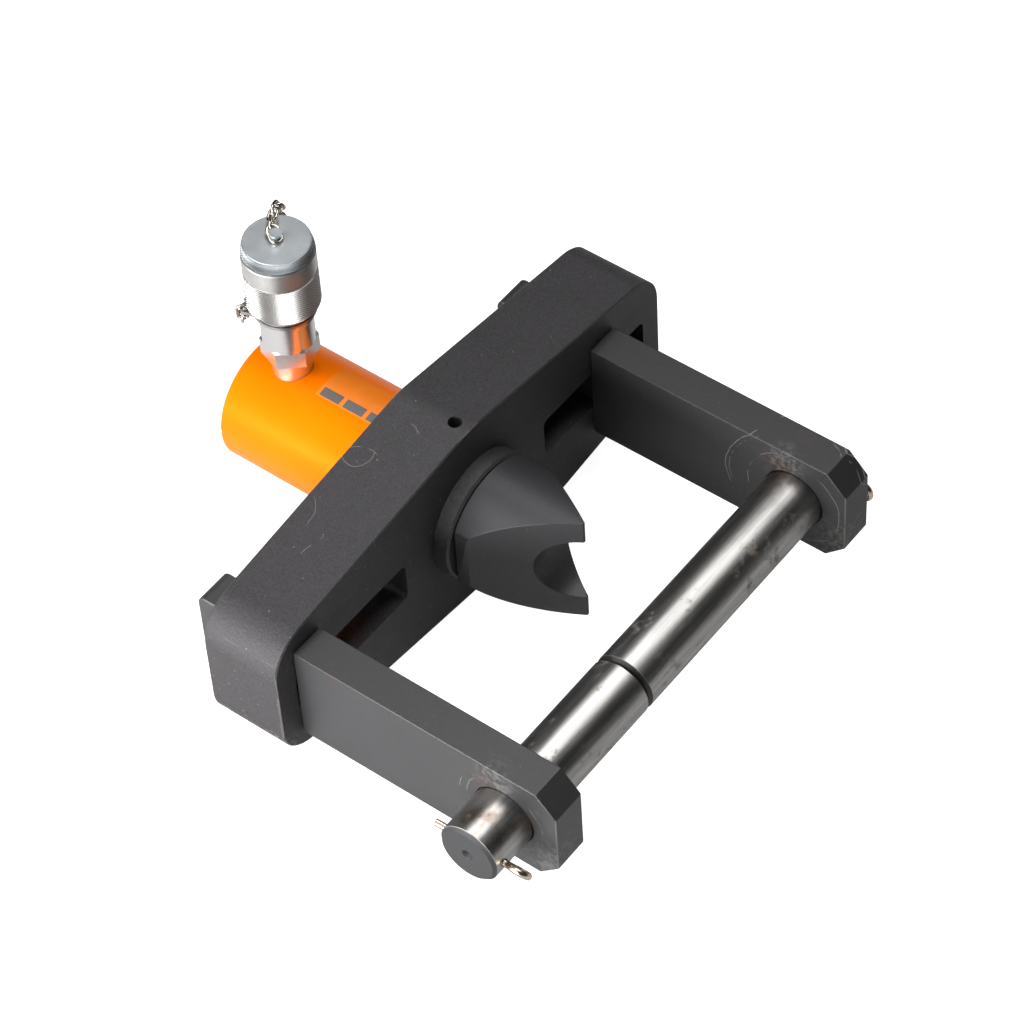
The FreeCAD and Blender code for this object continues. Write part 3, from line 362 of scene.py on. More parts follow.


# Blackened steel: grain, cloudy tone, worn pale edges, light scratches and stains, with painted glint specks
# and thin pale lines painted as highlights along edges.
def makeBlackSteel(name, settings, rubBox=None, rubWidth=0.0014, scratches=(), lines=(), rubs=(), stains=()):
    material, tree, shader, place = newMaterial(name)
    grain = useGroup(tree, blastGrain, Place=place)
    cloud = noise(tree, place, 30, 5)
    base = mixColor(tree, cloud, tuple(0.8 * part for part in settings["base"]),
                    tuple(1.2 * part for part in settings["base"]))
    tone = mixColor(tree, calc(tree, "MULTIPLY", grain["Grain"], settings["grain"]), base, settings["light"])
    for centre, reach in stains:
        stained = calc(tree, "MULTIPLY", spot(tree, place, centre, reach), rustFinish["strength"])
        tone = mixColor(tree, stained, tone, rustFinish["brown"])
    # Painted highlights: pale glint specks mixed into the colour.
    marks = calc(tree, "MULTIPLY", grain["PaintedGlint"], settings["grain"] * wearFinish["paintedGlint"], clamp=True)
    if rubBox:
        low, high = rubBox
        rub = useGroup(tree, boxRub, Place=place, Low=tuple(low), High=tuple(high), Width=rubWidth)["Rub"]
        marks = calc(tree, "MAXIMUM", marks, calc(tree, "MULTIPLY", rub, wearFinish["edgeRub"]))
    for centre, radius, width, keep, middle, reach in scratches:
        line = useGroup(tree, arcScratch, Place=place, Centre=centre, Radius=radius, Width=width, Keep=keep,
                        Middle=middle, Reach=reach)
        seen = calc(tree, "MULTIPLY", line["Scratch"], wearFinish["scratch"])
        marks = calc(tree, "MAXIMUM", marks, seen)
    # Painted highlights: thin pale lines along edges that catch light.
    for axis, value, width, strength in lines:
        line = thinLine(tree, place, axis, value, width)
        marks = calc(tree, "MAXIMUM", marks, calc(tree, "MULTIPLY", line, strength))
    for centre, reach, strength in rubs:
        rub = spot(tree, place, centre, reach, 420)
        marks = calc(tree, "MAXIMUM", marks, calc(tree, "MULTIPLY", rub, strength))
    # One pale colour serves real wear and also the painted glints and painted highlight lines.
    setInput(tree, shader.inputs["Base Color"], mixColor(tree, marks, tone, settings["rubbedAndGlint"]))
    uneven = calc(tree, "MULTIPLY", cloud, wearFinish["unevenRough"])
    smoothest = settings["rough"] - wearFinish["unevenRough"] / 2
    setInput(tree, shader.inputs["Roughness"], calc(tree, "ADD", uneven, smoothest))
    relief = bump(tree, grain["Grain"], settings["grain"], wearFinish["grainDepth"])
    setInput(tree, shader.inputs["Normal"], relief)
    return material


pinY = sum(corner.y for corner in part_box("short_pin")) / 2

groundFinish = {
    "clean": (0.50, 0.49, 0.475),
    "stain": (0.15, 0.09, 0.05),
    "endFace": (0.032, 0.032, 0.034),
    # The dark colour is painted shade in the groove where the two pins meet.
    "dark": (0.02, 0.019, 0.018), "pit": (0.05, 0.03, 0.02),
    "rust": 0.60, "stained": 0.75, "streakStretch": 16.0, "streakRough": 0.14, "stainRough": 0.30,
    "rough": 0.27, "faceRough": 0.55,
    "nearArm": (0.16, 0.36, 0.75),  # shares of the length where the brown fades out, and its strength
    "centreHole": (0.0030, 0.0034), "outerChamfer": (0.0011, 0.0016), "innerChamferShade": (0.0016, 0.0013),
}


# Ground pin steel with streaks along it, brown stains, pits, a dull end face, and painted shade darkening the
# inner chamfer where the two pins meet.
def makeGroundSteel(name, outerEnd, innerEnd):
    material, tree, shader, place = newMaterial(name)
    inward = 1.0 if innerEnd > outerEnd else -1.0
    rust = useGroup(tree, rustStain, Place=place, Amount=groundFinish["rust"])
    across = groundFinish["streakStretch"]
    streak = noise(tree, place, 16, 5, 0.65, stretch=(1.0, across, across))
    tone = mixColor(tree, ramp(tree, streak, 0.3, 0.7), tuple(0.6 * part for part in groundFinish["clean"]),
                    groundFinish["clean"])
    along = calc(tree, "MULTIPLY", calc(tree, "SUBTRACT", axisOf(tree, place, 0), outerEnd), inward)
    span = abs(innerEnd - outerEnd)
    fadeFrom, fadeTo, strength = groundFinish["nearArm"]
    nearArm = ramp(tree, along, span * fadeFrom, span * fadeTo, strength, 0.0)
    brownish = calc(tree, "MULTIPLY", nearArm, ramp(tree, noise(tree, place, 90, 4), 0.4, 0.7))
    tone = mixColor(tree, brownish, tone, groundFinish["stain"])
    stain = calc(tree, "MULTIPLY", rust["Stain"], groundFinish["stained"])
    stained = mixColor(tree, stain, tone, groundFinish["stain"])
    pitted = mixColor(tree, rust["Pits"], stained, groundFinish["pit"])
    centred = vectorMath(tree, "SUBTRACT", place, (0.0, pinY, 0.0))
    beside = vectorMath(tree, "MULTIPLY", centred, (0.0, 1.0, 1.0))
    holeFrom, holeTo = groundFinish["centreHole"]
    drilled = ramp(tree, vectorMath(tree, "LENGTH", beside), holeFrom, holeTo, 1.0, 0.0)
    outerFrom, outerTo = groundFinish["outerChamfer"]
    face = calc(tree, "MAXIMUM", drilled, ramp(tree, along, outerFrom, outerTo, 1.0, 0.0))
    # Painted shade: the inner chamfer, in the groove between the two pins, is darkened.
    innerFrom, innerTo = groundFinish["innerChamferShade"]
    inner = ramp(tree, along, span - innerFrom, span - innerTo)
    ended = mixColor(tree, face, pitted, groundFinish["endFace"])
    setInput(tree, shader.inputs["Base Color"], mixColor(tree, inner, ended, groundFinish["dark"]))
    dull = calc(tree, "MULTIPLY", rust["Stain"], groundFinish["stainRough"])
    streaky = calc(tree, "MULTIPLY", streak, groundFinish["streakRough"])
    rough = calc(tree, "ADD", dull, calc(tree, "ADD", groundFinish["rough"], streaky))
    setInput(tree, shader.inputs["Roughness"], mixValue(tree, face, rough, groundFinish["faceRough"]))
    stainPart = calc(tree, "MULTIPLY", rust["Stain"], 0.5)
    plain = calc(tree, "MAXIMUM", face, calc(tree, "MAXIMUM", inner, stainPart))
    setInput(tree, shader.inputs["Metallic"], calc(tree, "SUBTRACT", 1.0, plain))
    height = calc(tree, "SUBTRACT", calc(tree, "MULTIPLY", streak, 0.3), rust["Pits"])
    setInput(tree, shader.inputs["Normal"], bump(tree, height, 0.25, 0.0001))
    return material


orangeFinish = {
    "paint": (1.0, 0.170, 0.0), "cloud": (1.0, 0.185, 0.0), "sheen": (1.0, 0.6, 0.0),
    "knocks": [(-0.0287, 0.0043, 0.0018), (-0.0266, -0.0115, 0.0015)],  # x, z and reach on the rear rim
    "chip": (0.02, 0.02, 0.02), "bare": (0.030, 0.029, 0.031), "grain": (0.10, 0.098, 0.098),
    "chipped": (0.66, 0.69), "rough": 0.34, "collarRough": 0.5, "paintFrom": 0.030, "edge": 0.0003,
}


# Glossy enamel behind the crosshead, with a chipped rear edge, and a black collar in front.
def makeOrangePaint(name, paintFrom):
    material, tree, shader, place = newMaterial(name)
    along = axisOf(tree, place, 1)
    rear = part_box("cylinder_body")[1].y
    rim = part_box("cylinder_body")[1].x
    flat = vectorMath(tree, "MULTIPLY", place, (1.0, 0.0, 1.0))
    atRim = ramp(tree, vectorMath(tree, "LENGTH", flat), rim - 0.0020, rim - 0.0008)
    atEdge = calc(tree, "MULTIPLY", ramp(tree, along, rear - 0.0018, rear - 0.0006), atRim)
    chips = ramp(tree, noise(tree, place, 330, 3), *orangeFinish["chipped"])
    chipped = calc(tree, "MULTIPLY", atEdge, chips)
    for x, z, reach in orangeFinish["knocks"]:
        away = vectorMath(tree, "DISTANCE", place, (x, rear, z))
        chipped = calc(tree, "MAXIMUM", chipped, ramp(tree, away, reach * 0.7, reach, 1.0, 0.0))
    wave = noise(tree, place, 220, 2)
    grain = useGroup(tree, blastGrain, Place=place)
    collar = ramp(tree, along, paintFrom - 0.0002, paintFrom + 0.0002, 1.0, 0.0)
    cloud = mixColor(tree, noise(tree, place, 18, 2), orangeFinish["paint"], orangeFinish["cloud"])
    painted = mixColor(tree, chipped, cloud, orangeFinish["chip"])
    light = calc(tree, "MULTIPLY", grain["Grain"], 0.5)
    black = mixColor(tree, light, orangeFinish["bare"], orangeFinish["grain"])
    setInput(tree, shader.inputs["Base Color"], mixColor(tree, collar, painted, black))
    rough = mixValue(tree, collar, orangeFinish["rough"], orangeFinish["collarRough"])
    setInput(tree, shader.inputs["Roughness"], rough)
    tint = mixColor(tree, collar, orangeFinish["sheen"], (1.0, 1.0, 1.0))
    setInput(tree, shader.inputs["Specular Tint"], tint)
    height = mixValue(tree, collar, calc(tree, "MULTIPLY", wave, 0.08), grain["Grain"])
    setInput(tree, shader.inputs["Normal"], bump(tree, height, 0.3, 0.0002))
    return material


platedFinish = {
    # The valley tone and strength set the painted shade that darkens knurl valleys.
    "spotTone": 0.45, "valleyShadeTone": 0.28, "valleyShadeStrength": 0.85, "fade": 0.0002,
    "ringsPerMetre": 9000.0, "ringDepth": 0.00005,
}


# Plated or turned metal with soft clouds, small dull spots and turning marks round an axis, and painted shade
# darkening the valleys of knurled bands.
def makePlated(name, base, rough, spots=0.35, turned=None, metallic=1.0, knurled=(), cloudy=0.22):
    material, tree, shader, place = newMaterial(name)
    cloud = noise(tree, place, 140, 4, 0.6)
    dull = ramp(tree, noise(tree, place, 600, 3), 0.62, 0.72)
    shade = mixColor(tree, cloud, tuple((1 - cloudy) * part for part in base), base)
    spotColor = tuple(platedFinish["spotTone"] * part for part in base)
    marked = mixColor(tree, calc(tree, "MULTIPLY", dull, spots), shade, spotColor)
    fade = platedFinish["fade"]
    valleyShadeColor = tuple(platedFinish["valleyShadeTone"] * part for part in base)
    # Painted shade: the colour is darkened in the knurl's valleys.
    for low, high, floorRadius, depth, taper in knurled:
        centred = vectorMath(tree, "SUBTRACT", place, tuple(couplerAxis))
        flat = vectorMath(tree, "MULTIPLY", centred, (1.0, 1.0, 0.0))
        lean = ramp(tree, axisOf(tree, place, 2), low, high, 0.0, taper)
        away = calc(tree, "ADD", vectorMath(tree, "LENGTH", flat), lean)
        valleyShade = ramp(tree, away, floorRadius, floorRadius + depth, 1.0, 0.0)
        height = axisOf(tree, place, 2)
        within = calc(tree, "MULTIPLY", ramp(tree, height, low, low + fade),
                      ramp(tree, height, high - fade, high, 1.0, 0.0))
        valleyShadeAmount = calc(tree, "MULTIPLY", calc(tree, "MULTIPLY", valleyShade, within), platedFinish["valleyShadeStrength"])
        marked = mixColor(tree, valleyShadeAmount, marked, valleyShadeColor)
    setInput(tree, shader.inputs["Base Color"], marked)
    roughness = calc(tree, "ADD", calc(tree, "MULTIPLY", cloud, 0.14), rough - 0.05)
    setInput(tree, shader.inputs["Roughness"], roughness)
    shader.inputs["Metallic"].default_value = metallic
    if turned:
        centred = vectorMath(tree, "MULTIPLY", vectorMath(tree, "SUBTRACT", place, turned), (1.0, 1.0, 0.0))
        away = vectorMath(tree, "LENGTH", centred)
        rings = calc(tree, "SINE", calc(tree, "MULTIPLY", away, platedFinish["ringsPerMetre"]))
        setInput(tree, shader.inputs["Normal"], bump(tree, rings, 0.12, platedFinish["ringDepth"]))
    else:
        setInput(tree, shader.inputs["Normal"], bump(tree, cloud, 0.1, 0.0001))
    return material


# Seal rubber or plastic with a faint moulded grain.
def makeMoulded(name, base, rough):
    material, tree, shader, place = newMaterial(name)
    cloud = noise(tree, place, 400, 4)
    setInput(tree, shader.inputs["Base Color"],
             mixColor(tree, cloud, tuple(0.8 * part for part in base), base))
    shader.inputs["Roughness"].default_value = rough
    setInput(tree, shader.inputs["Normal"], bump(tree, cloud, 0.15, 0.0001))
    return material


# Finished pieces that stand for CAD nodes, with their sharp edges broken

dressLook = {"flat": 0.6, "sharp": 32, "smooth": 28}  # degrees


# A merged copy of a node with small bevels, which catches light as a real edge does.
def dressNode(node, body, material, edge):
    selectOnly(nodes[node])
    bpy.ops.object.duplicate()
    piece = bpy.context.view_layer.objects.active
    piece.name = node + "_finished"
    piece.parent = None
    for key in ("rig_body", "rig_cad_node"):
        if key in piece:
            del piece[key]
    editMesh(piece)
    bpy.ops.mesh.remove_doubles(threshold=joinedAtRest)
    bpy.ops.mesh.dissolve_limited(angle_limit=math.radians(dressLook["flat"]))
    bpy.ops.object.mode_set(mode="OBJECT")
    applyModifier(piece, "BEVEL", width=edge, segments=2, limit_method="ANGLE",
                  angle_limit=math.radians(dressLook["sharp"]), miter_outer="MITER_ARC")
    smoothByAngle(piece, dressLook["smooth"])
    applyModifier(piece, "WEIGHTED_NORMAL", keep_sharp=True)  # keeps broad faces flat beside their bevels
    finishPiece(piece, body, material, [node])
    return piece


crossheadLook = {
    "edge": 0.0005, "rubWidth": 0.0016,
    "topScratches": [  # centre, radius, width, how much noise leaves out, middle and reach
        ((-0.0232, 0.0199, 0.0457), 0.0119, 0.00018, 0.44, (-0.0142, 0.0277, 0.0469), 0.0130),
        ((-0.0323, 0.0316, 0.0445), 0.0070, 0.00020, 0.38, (-0.0376, 0.0271, 0.0438), 0.0110),
        ((-0.0390, 0.0276, 0.0437), 0.0109, 0.00018, 0.40, (-0.0286, 0.0308, 0.0450), 0.0070),
        ((-0.0684, 0.0392, 0.0398), 0.0119, 0.00018, 0.36, (-0.0621, 0.0291, 0.0407), 0.0095),
        ((-0.0714, 0.0205, 0.0395), 0.0024, 0.00020, 0.30, (-0.0705, 0.0185, 0.0396), 0.0040),
        ((-0.0893, -0.0336, 0.0371), 0.0550, 0.00020, 0.36, (-0.0782, 0.0203, 0.0386), 0.0045),
        ((-0.0148, 0.0213, 0.0468), 0.0047, 0.00018, 0.36, (-0.0107, 0.0190, 0.0473), 0.0035),
    ],
    # Thin pale lines painted along edges as highlights.
    "lines": [  # axis, value, width, strength
        (2, 0.0243, 0.0003, 0.25), (2, -0.0243, 0.0003, 0.25), (2, -0.0035, 0.0002, 0.5),
    ],
    "rubs": [  # pale rub along the lower edge of the near end
        ((-0.1264, 0.005, -0.028), 0.012, 0.8), ((-0.1264, 0.018, -0.030), 0.012, 0.7),
        ((-0.1264, 0.031, -0.028), 0.010, 0.6),
    ],
}


def makeCrosshead():
    look = crossheadLook
    material = makeBlackSteel("crossheadBlack", blackFinish["crosshead"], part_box("crosshead"),
                              look["rubWidth"], look["topScratches"], look["lines"], look["rubs"])
    dressNode("crosshead", "frame", material, crossheadLook["edge"])


armLook = {
    "edge": 0.0005, "rubWidth": 0.0013, "wearReach": 0.1,
    "wear": {  # radius, width and how much is left out
        "left_arm": [(0.0215, 0.00020, 0.55), (0.0180, 0.00020, 0.52)],
        "right_arm": [(0.0330, 0.00030, 0.44), (0.0312, 0.00020, 0.50), (0.0225, 0.00025, 0.50)],
    },
    "redStain": (-0.112, -0.020, 0.0249),
}


def makeArms():
    for node, body in (("left_arm", "left_jaw"), ("right_arm", "right_jaw")):
        low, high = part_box(node)
        hole = (low.x, pinY, 0.0)
        scratches = [(hole,) + wear + (hole, armLook["wearReach"]) for wear in armLook["wear"][node]]
        stains = [((low.x, pinY + 0.008, 0.012), 0.014), ((high.x, pinY, 0.015), 0.016)]
        if node == "left_arm":
            stains.append((armLook["redStain"], 0.007))
        rubs = [((low.x, pinY + 0.004, 0.018), 0.012, 0.35), ((low.x, low.y, -0.015), 0.02, 0.3)]
        material = makeBlackSteel(node + "Black", blackFinish[node], (low, high), armLook["rubWidth"],
                                  scratches, (), rubs, stains)
        dressNode(node, body, material, armLook["edge"])


smallEdge = {"pin": 0.0002, "head": 0.0005, "coupler": 0.0003}


def makePins():
    for node, body in (("short_pin", "short_jaw_pin"), ("long_pin", "long_jaw_pin")):
        low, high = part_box(node)
        ends = (low.x, high.x) if node == "short_pin" else (high.x, low.x)
        dressNode(node, body, makeGroundSteel(node + "Steel", *ends), smallEdge["pin"])


def makeHead():
    material = makeBlackSteel("headBlack", blackFinish["head"])
    dressNode("wedge_head", "ram", material, smallEdge["head"])


def makeCylinder():
    material = makeOrangePaint("orangeEnamel", orangeFinish["paintFrom"])
    dressNode("cylinder_body", "frame", material, orangeFinish["edge"])


makeCrosshead()
makeArms()
makePins()
makeHead()
makeCylinder()
print("large pieces ready")


# Knurled coupler pieces, turned from a ring

couplerAxis = Vector((0.0, sum(corner.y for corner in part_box("coupler_sleeve")) / 2, 0.0))


# A shell turned round the coupler's axis: a ring of edges extruded from point to point.
def turnedPiece(name, profile, segments):
    radius, height = profile[0]
    bpy.ops.object.select_all(action="DESELECT")
    bpy.ops.mesh.primitive_circle_add(vertices=segments, radius=radius,
                                      location=(0, couplerAxis.y, height))
    piece = bpy.context.view_layer.objects.active
    piece.name = name
    bpy.ops.object.transform_apply(location=True, rotation=True, scale=True)
    bpy.ops.object.mode_set(mode="EDIT")
    bpy.ops.mesh.select_mode(type="EDGE")
    bpy.ops.mesh.select_all(action="SELECT")
    for (before, low), (after, high) in zip(profile, profile[1:]):
        bpy.ops.mesh.extrude_region_move(TRANSFORM_OT_translate={"value": (0, 0, high - low)})
        grow = after / before
        bpy.ops.transform.resize(value=(grow, grow, 1), center_override=(0, couplerAxis.y, high))
    bpy.ops.mesh.select_all(action="SELECT")
    bpy.ops.mesh.remove_doubles(threshold=joinedAtRest)
    bpy.ops.mesh.normals_make_consistent(inside=False)
    bpy.ops.object.mode_set(mode="OBJECT")
    return piece


knurlLook = {"outer": 0.92, "upright": 0.4, "joinAngle": 60, "smooth": 20}


# Cut a diamond knurl into the outer wall between two heights.
def knurl(piece, low, high, radius, depth):
    def onBand(centre, normal):
        away = math.hypot(centre.x, centre.y - couplerAxis.y)
        outer = away > radius * knurlLook["outer"]
        return low < centre.z < high and outer and abs(normal.z) < knurlLook["upright"]

    editMesh(piece, faceTest=onBand)
    bpy.ops.mesh.poke()
    joinAngle = math.radians(knurlLook["joinAngle"])
    bpy.ops.mesh.tris_convert_to_quads(face_threshold=joinAngle, shape_threshold=joinAngle)
    bpy.ops.mesh.poke(offset=depth)
    bpy.ops.object.mode_set(mode="OBJECT")


# The rows of points up a wall, which may lean in towards the top.
def wallRows(radius, low, high, rows, taper=0.0):
    step = (high - low) / rows
    return [(radius - taper * row / rows, low + step * row) for row in range(rows + 1)]


sleeveLook = {
    "columns": 84, "rows": 15, "knurlDepth": 0.00034,
    "bandGroove": 0.0005, "lip": 0.00035, "chamfer": 0.0009,
    "bandLow": 0.0872, "bandRadius": 0.0153, "grooveRadius": 0.0150, "valleyHigh": 0.0868,
    "inner": 0.0137, "lipInner": 0.01245, "lipHigh": 0.0031,
}


# The coupler's sleeve: a knurled skirt under a smooth band, open at both ends.
def makeSleeve():
    low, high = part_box("coupler_sleeve")
    radius = (high.x - low.x) / 2
    skirt = radius - sleeveLook["knurlDepth"]
    bandLow, band, lip = sleeveLook["bandLow"], sleeveLook["bandRadius"], sleeveLook["lip"]
    chamfer, grooveRadius = sleeveLook["chamfer"], sleeveLook["grooveRadius"]
    inner, lipInner = sleeveLook["inner"], sleeveLook["lipInner"]
    lipTop = low.z + sleeveLook["lipHigh"]
    knurlLow = low.z + chamfer
    knurlHigh = bandLow - sleeveLook["bandGroove"]
    profile = [(lipInner, lipTop), (lipInner, low.z), (skirt - chamfer, low.z)]
    profile += wallRows(skirt, knurlLow, knurlHigh, sleeveLook["rows"])
    profile += [(grooveRadius, knurlHigh), (grooveRadius, bandLow),
                (band - lip, bandLow), (band, bandLow + lip),
                (band, high.z - lip), (band - lip, high.z), (inner + lip, high.z), (inner, high.z - lip),
                (inner, lipTop), (lipInner, lipTop)]
    piece = turnedPiece("coupler_sleeve_knurled", profile, sleeveLook["columns"])
    knurl(piece, knurlLow, knurlHigh, skirt, sleeveLook["knurlDepth"])
    smoothByAngle(piece, knurlLook["smooth"])
    finishPiece(piece, "sleeve", sleeveZinc, ["coupler_sleeve"])


capLook = {
    "columns": 92, "rows": 5, "knurlDepth": 0.00030, "taper": 0.0011, "edge": 0.0002,
    "rimLow": 0.0973, "valleyLow": 0.0975, "shank": 0.0134, "inside": 0.0106, "ceiling": 0.094,
    "rivetHole": 0.00157, "recess": 0.0031, "recessTop": 0.0955,
}


# The dust cap: a shank, a knurled rim and a turned top with a hole for the rivet.
def makeCap():
    low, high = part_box("dust_cap")
    radius = (high.x - low.x) / 2
    skirt = radius - capLook["knurlDepth"]
    rimLow, edge, taper = capLook["rimLow"], capLook["edge"], capLook["taper"]
    hole, recess, inside = capLook["rivetHole"], capLook["recess"], capLook["inside"]
    shank, ceiling, recessTop = capLook["shank"], capLook["ceiling"], capLook["recessTop"]
    profile = [(inside, ceiling), (inside, low.z), (shank, low.z), (shank, rimLow), (skirt - edge, rimLow)]
    profile += wallRows(skirt, rimLow + edge, high.z - edge, capLook["rows"], taper)
    profile += [(skirt - taper - edge, high.z), (hole, high.z), (hole, recessTop), (recess, recessTop),
                (recess, ceiling), (inside, ceiling)]
    piece = turnedPiece("dust_cap_knurled", profile, capLook["columns"])
    knurl(piece, rimLow + edge, high.z - edge, skirt, capLook["knurlDepth"])
    smoothByAngle(piece, knurlLook["smooth"])
    finishPiece(piece, "cap", capZinc, ["dust_cap"])


zincBright = makePlated("zincBright", (0.80, 0.81, 0.82), 0.20, 0.06, metallic=0.94, cloudy=0.08)
sleeveLow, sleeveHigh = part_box("coupler_sleeve")
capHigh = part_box("dust_cap")[1]
# Each knurled band below gets painted shade in its valleys.
sleeveZinc = makePlated("sleeveZinc", (0.74, 0.735, 0.72), 0.36, knurled=[
    (sleeveLow.z, sleeveLook["valleyHigh"], sleeveHigh.x - sleeveLook["knurlDepth"],
     sleeveLook["knurlDepth"], 0.0)])
capZinc = makePlated("capZinc", (0.70, 0.74, 0.77), 0.40, 0.3, tuple(couplerAxis), knurled=[
    (capLook["valleyLow"], capHigh.z - capLook["edge"], capHigh.x - capLook["knurlDepth"],
     capLook["knurlDepth"], capLook["taper"])])
makeSleeve()
makeCap()
print("coupler ready")


# A plain patch with plain grey bars on the cylinder

patchLook = {
    "from": 0.040, "to": 0.076, "turnLow": 66, "turnHigh": 104,
    "lift": 0.00012, "sheet": 0.00008, "steps": 18,
    "bars": [(0.0405, 0.0505), (0.0525, 0.0625), (0.0645, 0.0745)], "barTurns": (94, 102.5),
}


# A thin sheet bent round the cylinder: one edge of a plane, spun from one angle to another.
def curvedPatch(name, radius, start, end, turnLow, turnHigh, material):
    long = end - start
    bpy.ops.object.select_all(action="DESELECT")
    bpy.ops.mesh.primitive_plane_add(size=long, location=(radius + long / 2, (start + end) / 2, 0))
    piece = bpy.context.view_layer.objects.active
    piece.name = name
    bpy.ops.object.transform_apply(location=True, rotation=True, scale=True)
    editMesh(piece, edgeTest=lambda middle: middle.x > radius + long * 0.75)
    bpy.ops.mesh.delete(type="VERT")
    bpy.ops.mesh.select_all(action="SELECT")
    bpy.ops.mesh.spin(steps=patchLook["steps"], angle=math.radians(turnHigh - turnLow),
                      center=(0, 0, 0), axis=(0, 1, 0))
    bpy.ops.object.mode_set(mode="OBJECT")
    piece.rotation_euler.y = -math.radians(turnLow)
    bpy.ops.object.transform_apply(location=True, rotation=True, scale=True)
    applyModifier(piece, "SOLIDIFY", thickness=patchLook["sheet"], offset=0)
    editMesh(piece)
    bpy.ops.mesh.normals_make_consistent(inside=False)
    bpy.ops.object.mode_set(mode="OBJECT")
    smoothByAngle(piece, 30)
    finishPiece(piece, "frame", material)


def makePatch():
    low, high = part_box("cylinder_body")
    radius = (high.x - low.x) / 2 + patchLook["lift"]
    film = makePlated("patchFilm", (1.0, 0.24, 0.01), 0.35, 0.0, metallic=0.0)
    grey = makePlated("patchGrey", (0.13, 0.125, 0.12), 0.4, 0.1, metallic=0.0)
    curvedPatch("patch_film", radius, patchLook["from"], patchLook["to"],
                patchLook["turnLow"], patchLook["turnHigh"], film)
    for number, (start, end) in enumerate(patchLook["bars"]):
        turnLow, turnHigh = patchLook["barTurns"]
        curvedPatch("patch_bar_%d" % number, radius + patchLook["lift"], start, end,
                    turnLow, turnHigh, grey)


# Small parts keep their CAD shape and get their own finish

def finishSmallParts():
    wire = makePlated("brightWire", (0.60, 0.56, 0.50), 0.20, 0.5)
    copperWire = makePlated("cotterWire", (0.72, 0.60, 0.50), 0.24, 0.5)
    dark = makePlated("darkSpring", (0.30, 0.30, 0.31), 0.35)
    ring = makePlated("silverRing", (0.58, 0.58, 0.58), 0.28)
    inner = makePlated("turnedSteel", (0.52, 0.52, 0.52), 0.3)
    chrome = makePlated("platedRod", (0.82, 0.82, 0.84), 0.12, 0.1)
    bronze = makePlated("bronze", (0.62, 0.42, 0.20), 0.35)
    black = makePlated("screwSteel", (0.10, 0.10, 0.10), 0.45, metallic=0.6)
    rubber = makeMoulded("sealRubber", (0.025, 0.025, 0.027), 0.6)
    plastic = makeMoulded("whiteBackup", (0.80, 0.80, 0.76), 0.45)
    finishes = {
        "crosshead_lock_screw": black, "short_pin_cotter": copperWire, "long_pin_cotter": copperWire,
        "stop_ring": bronze, "wiper_seal": rubber, "plunger": chrome, "piston_seal": rubber,
        "backup_ring": plastic, "return_spring": dark, "spring_base_anchor": inner,
        "spring_plunger_anchor": inner, "head_stud": inner, "sleeve_retaining_ring": ring,
        "chain_ring": ring, "chain_links": wire, "cap_chain_eye": wire, "valve_poppet": inner,
        "poppet_spring": dark, "valve_seat": bronze, "cap_gasket": rubber, "cap_rivet": capZinc,
    }
    for node, material in finishes.items():
        part = nodes[node]
        part.data.materials.clear()
        part.data.materials.append(material)
    dressNode("coupler_body", "frame", zincBright, smallEdge["coupler"])


makePatch()
finishSmallParts()
print("small parts ready")


# Studio: pale floor, soft lamps, white surround and the photograph's camera

studio = {
    "world": 0.032,
    "floorColor": (0.60, 0.60, 0.60),
    "floorGlow": 0.95, "floorShine": 0.05, "floorRough": 0.9, "floorSize": 12, "floorDrop": 0.0002,
    "lamps": [  # name, place, size across and along, power
        ("left", (-0.85, 0.45, 0.70), (1.3, 1.8), 17.0),
        ("side", (-1.10, 0.10, 0.11), (0.9, 0.35), 18.5),
        ("sky", (0.40, 0.00, 1.20), (0.9, 0.6), 8.8),
    ],
}


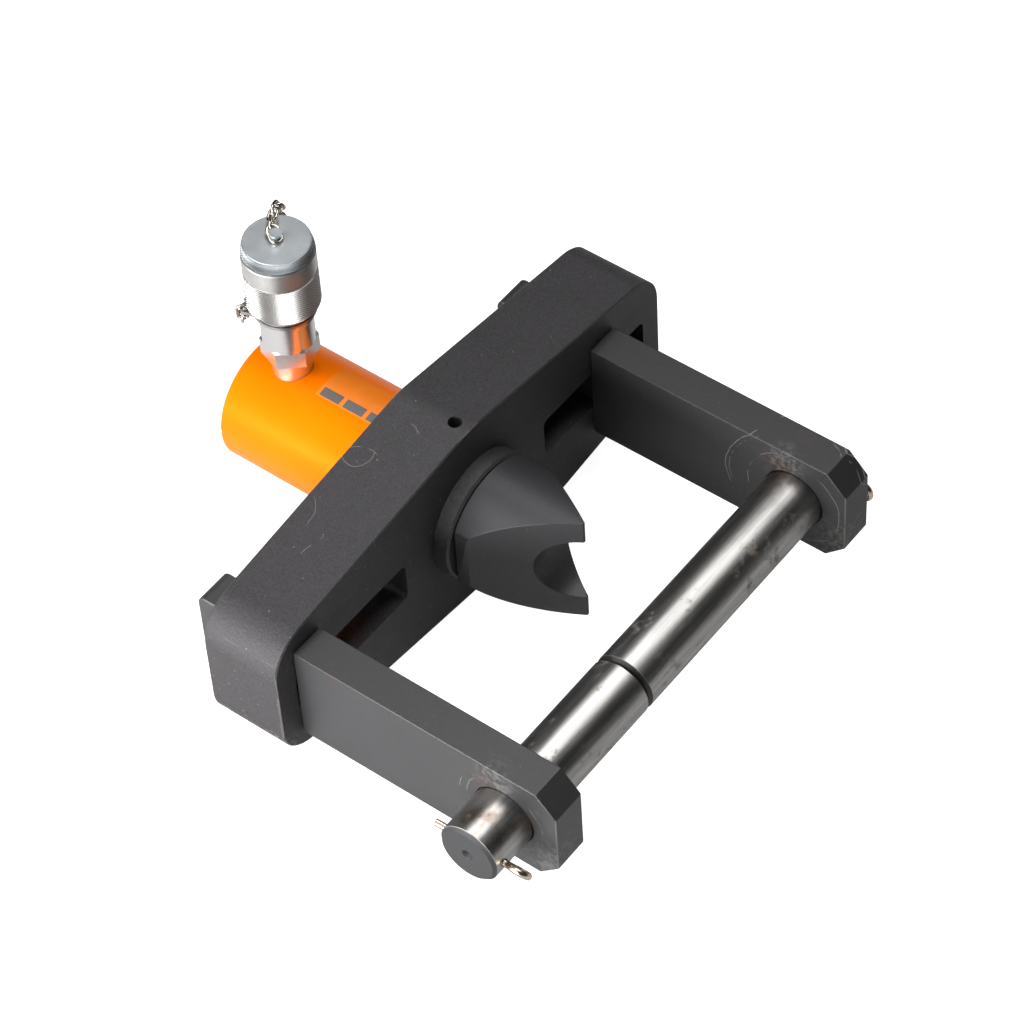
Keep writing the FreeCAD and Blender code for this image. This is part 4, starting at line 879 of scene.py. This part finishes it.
def makeFloor():
    low = cadBounds[0][2]
    bpy.ops.object.select_all(action="DESELECT")
    bpy.ops.mesh.primitive_plane_add(size=studio["floorSize"], location=(0, 0, low - studio["floorDrop"]))
    floor = bpy.context.view_layer.objects.active
    floor.name = "floor"
    material = bpy.data.materials.new("paleFloor")
    material.use_nodes = True
    tree = material.node_tree
    shader = tree.nodes["Principled BSDF"]
    shader.inputs["Base Color"].default_value = studio["floorColor"] + (1,)
    shader.inputs["Roughness"].default_value = studio["floorRough"]
    path = tree.nodes.new("ShaderNodeLightPath")
    shader.inputs["Emission Color"].default_value = (1, 1, 1, 1)
    seen = calc(tree, "MULTIPLY", path.outputs["Is Camera Ray"], studio["floorGlow"])
    mirrored = calc(tree, "MULTIPLY", path.outputs["Is Glossy Ray"], studio["floorShine"])
    setInput(tree, shader.inputs["Emission Strength"], calc(tree, "ADD", seen, mirrored))
    floor.data.materials.append(material)


def makeWorld():
    world = bpy.data.worlds.new("studio")
    bpy.context.scene.world = world
    world.use_nodes = True
    tree = world.node_tree
    background = tree.nodes["Background"]
    path = tree.nodes.new("ShaderNodeLightPath").outputs
    background.inputs["Color"].default_value = (1, 1, 1, 1)
    strength = mixValue(tree, path["Is Camera Ray"], studio["world"], 1.0)
    setInput(tree, background.inputs["Strength"], strength)


def makeLamps():
    for name, place, (across, along), power in studio["lamps"]:
        data = bpy.data.lights.new(name, "AREA")
        data.shape = "RECTANGLE"
        data.size = across
        data.size_y = along
        data.energy = power
        lamp = bpy.data.objects.new(name, data)
        bpy.context.scene.collection.objects.link(lamp)
        lamp.location = place
        lamp.rotation_euler = (-Vector(place)).to_track_quat("-Z", "Y").to_euler()


cameraPlace = {
    "azimuth": -49.665, "elevation": 49.690, "roll": -4.089,
    "distance": 1.6070, "aim": (0.0077, -0.0122, -0.0011),
    "lens": 139.0, "sensor": 36.0,
}


def makeCamera():
    data = bpy.data.cameras.new("photoCamera")
    data.lens = cameraPlace["lens"]
    data.sensor_width = cameraPlace["sensor"]
    data.clip_start = 0.05
    camera = bpy.data.objects.new("photoCamera", data)
    bpy.context.scene.collection.objects.link(camera)
    turn = Matrix.Rotation(math.radians(cameraPlace["azimuth"]), 4, "Z")
    tilt = Matrix.Rotation(math.radians(90 - cameraPlace["elevation"]), 4, "X")
    roll = Matrix.Rotation(math.radians(cameraPlace["roll"]), 4, "Z")
    aim = Matrix.Translation(cameraPlace["aim"])
    back = Matrix.Translation((0, 0, cameraPlace["distance"]))
    camera.matrix_world = aim @ turn @ tilt @ back @ roll
    bpy.context.scene.camera = camera


makeFloor()
makeWorld()
makeLamps()
makeCamera()
bpy.context.scene.view_settings.view_transform = "Standard"
print("studio ready")
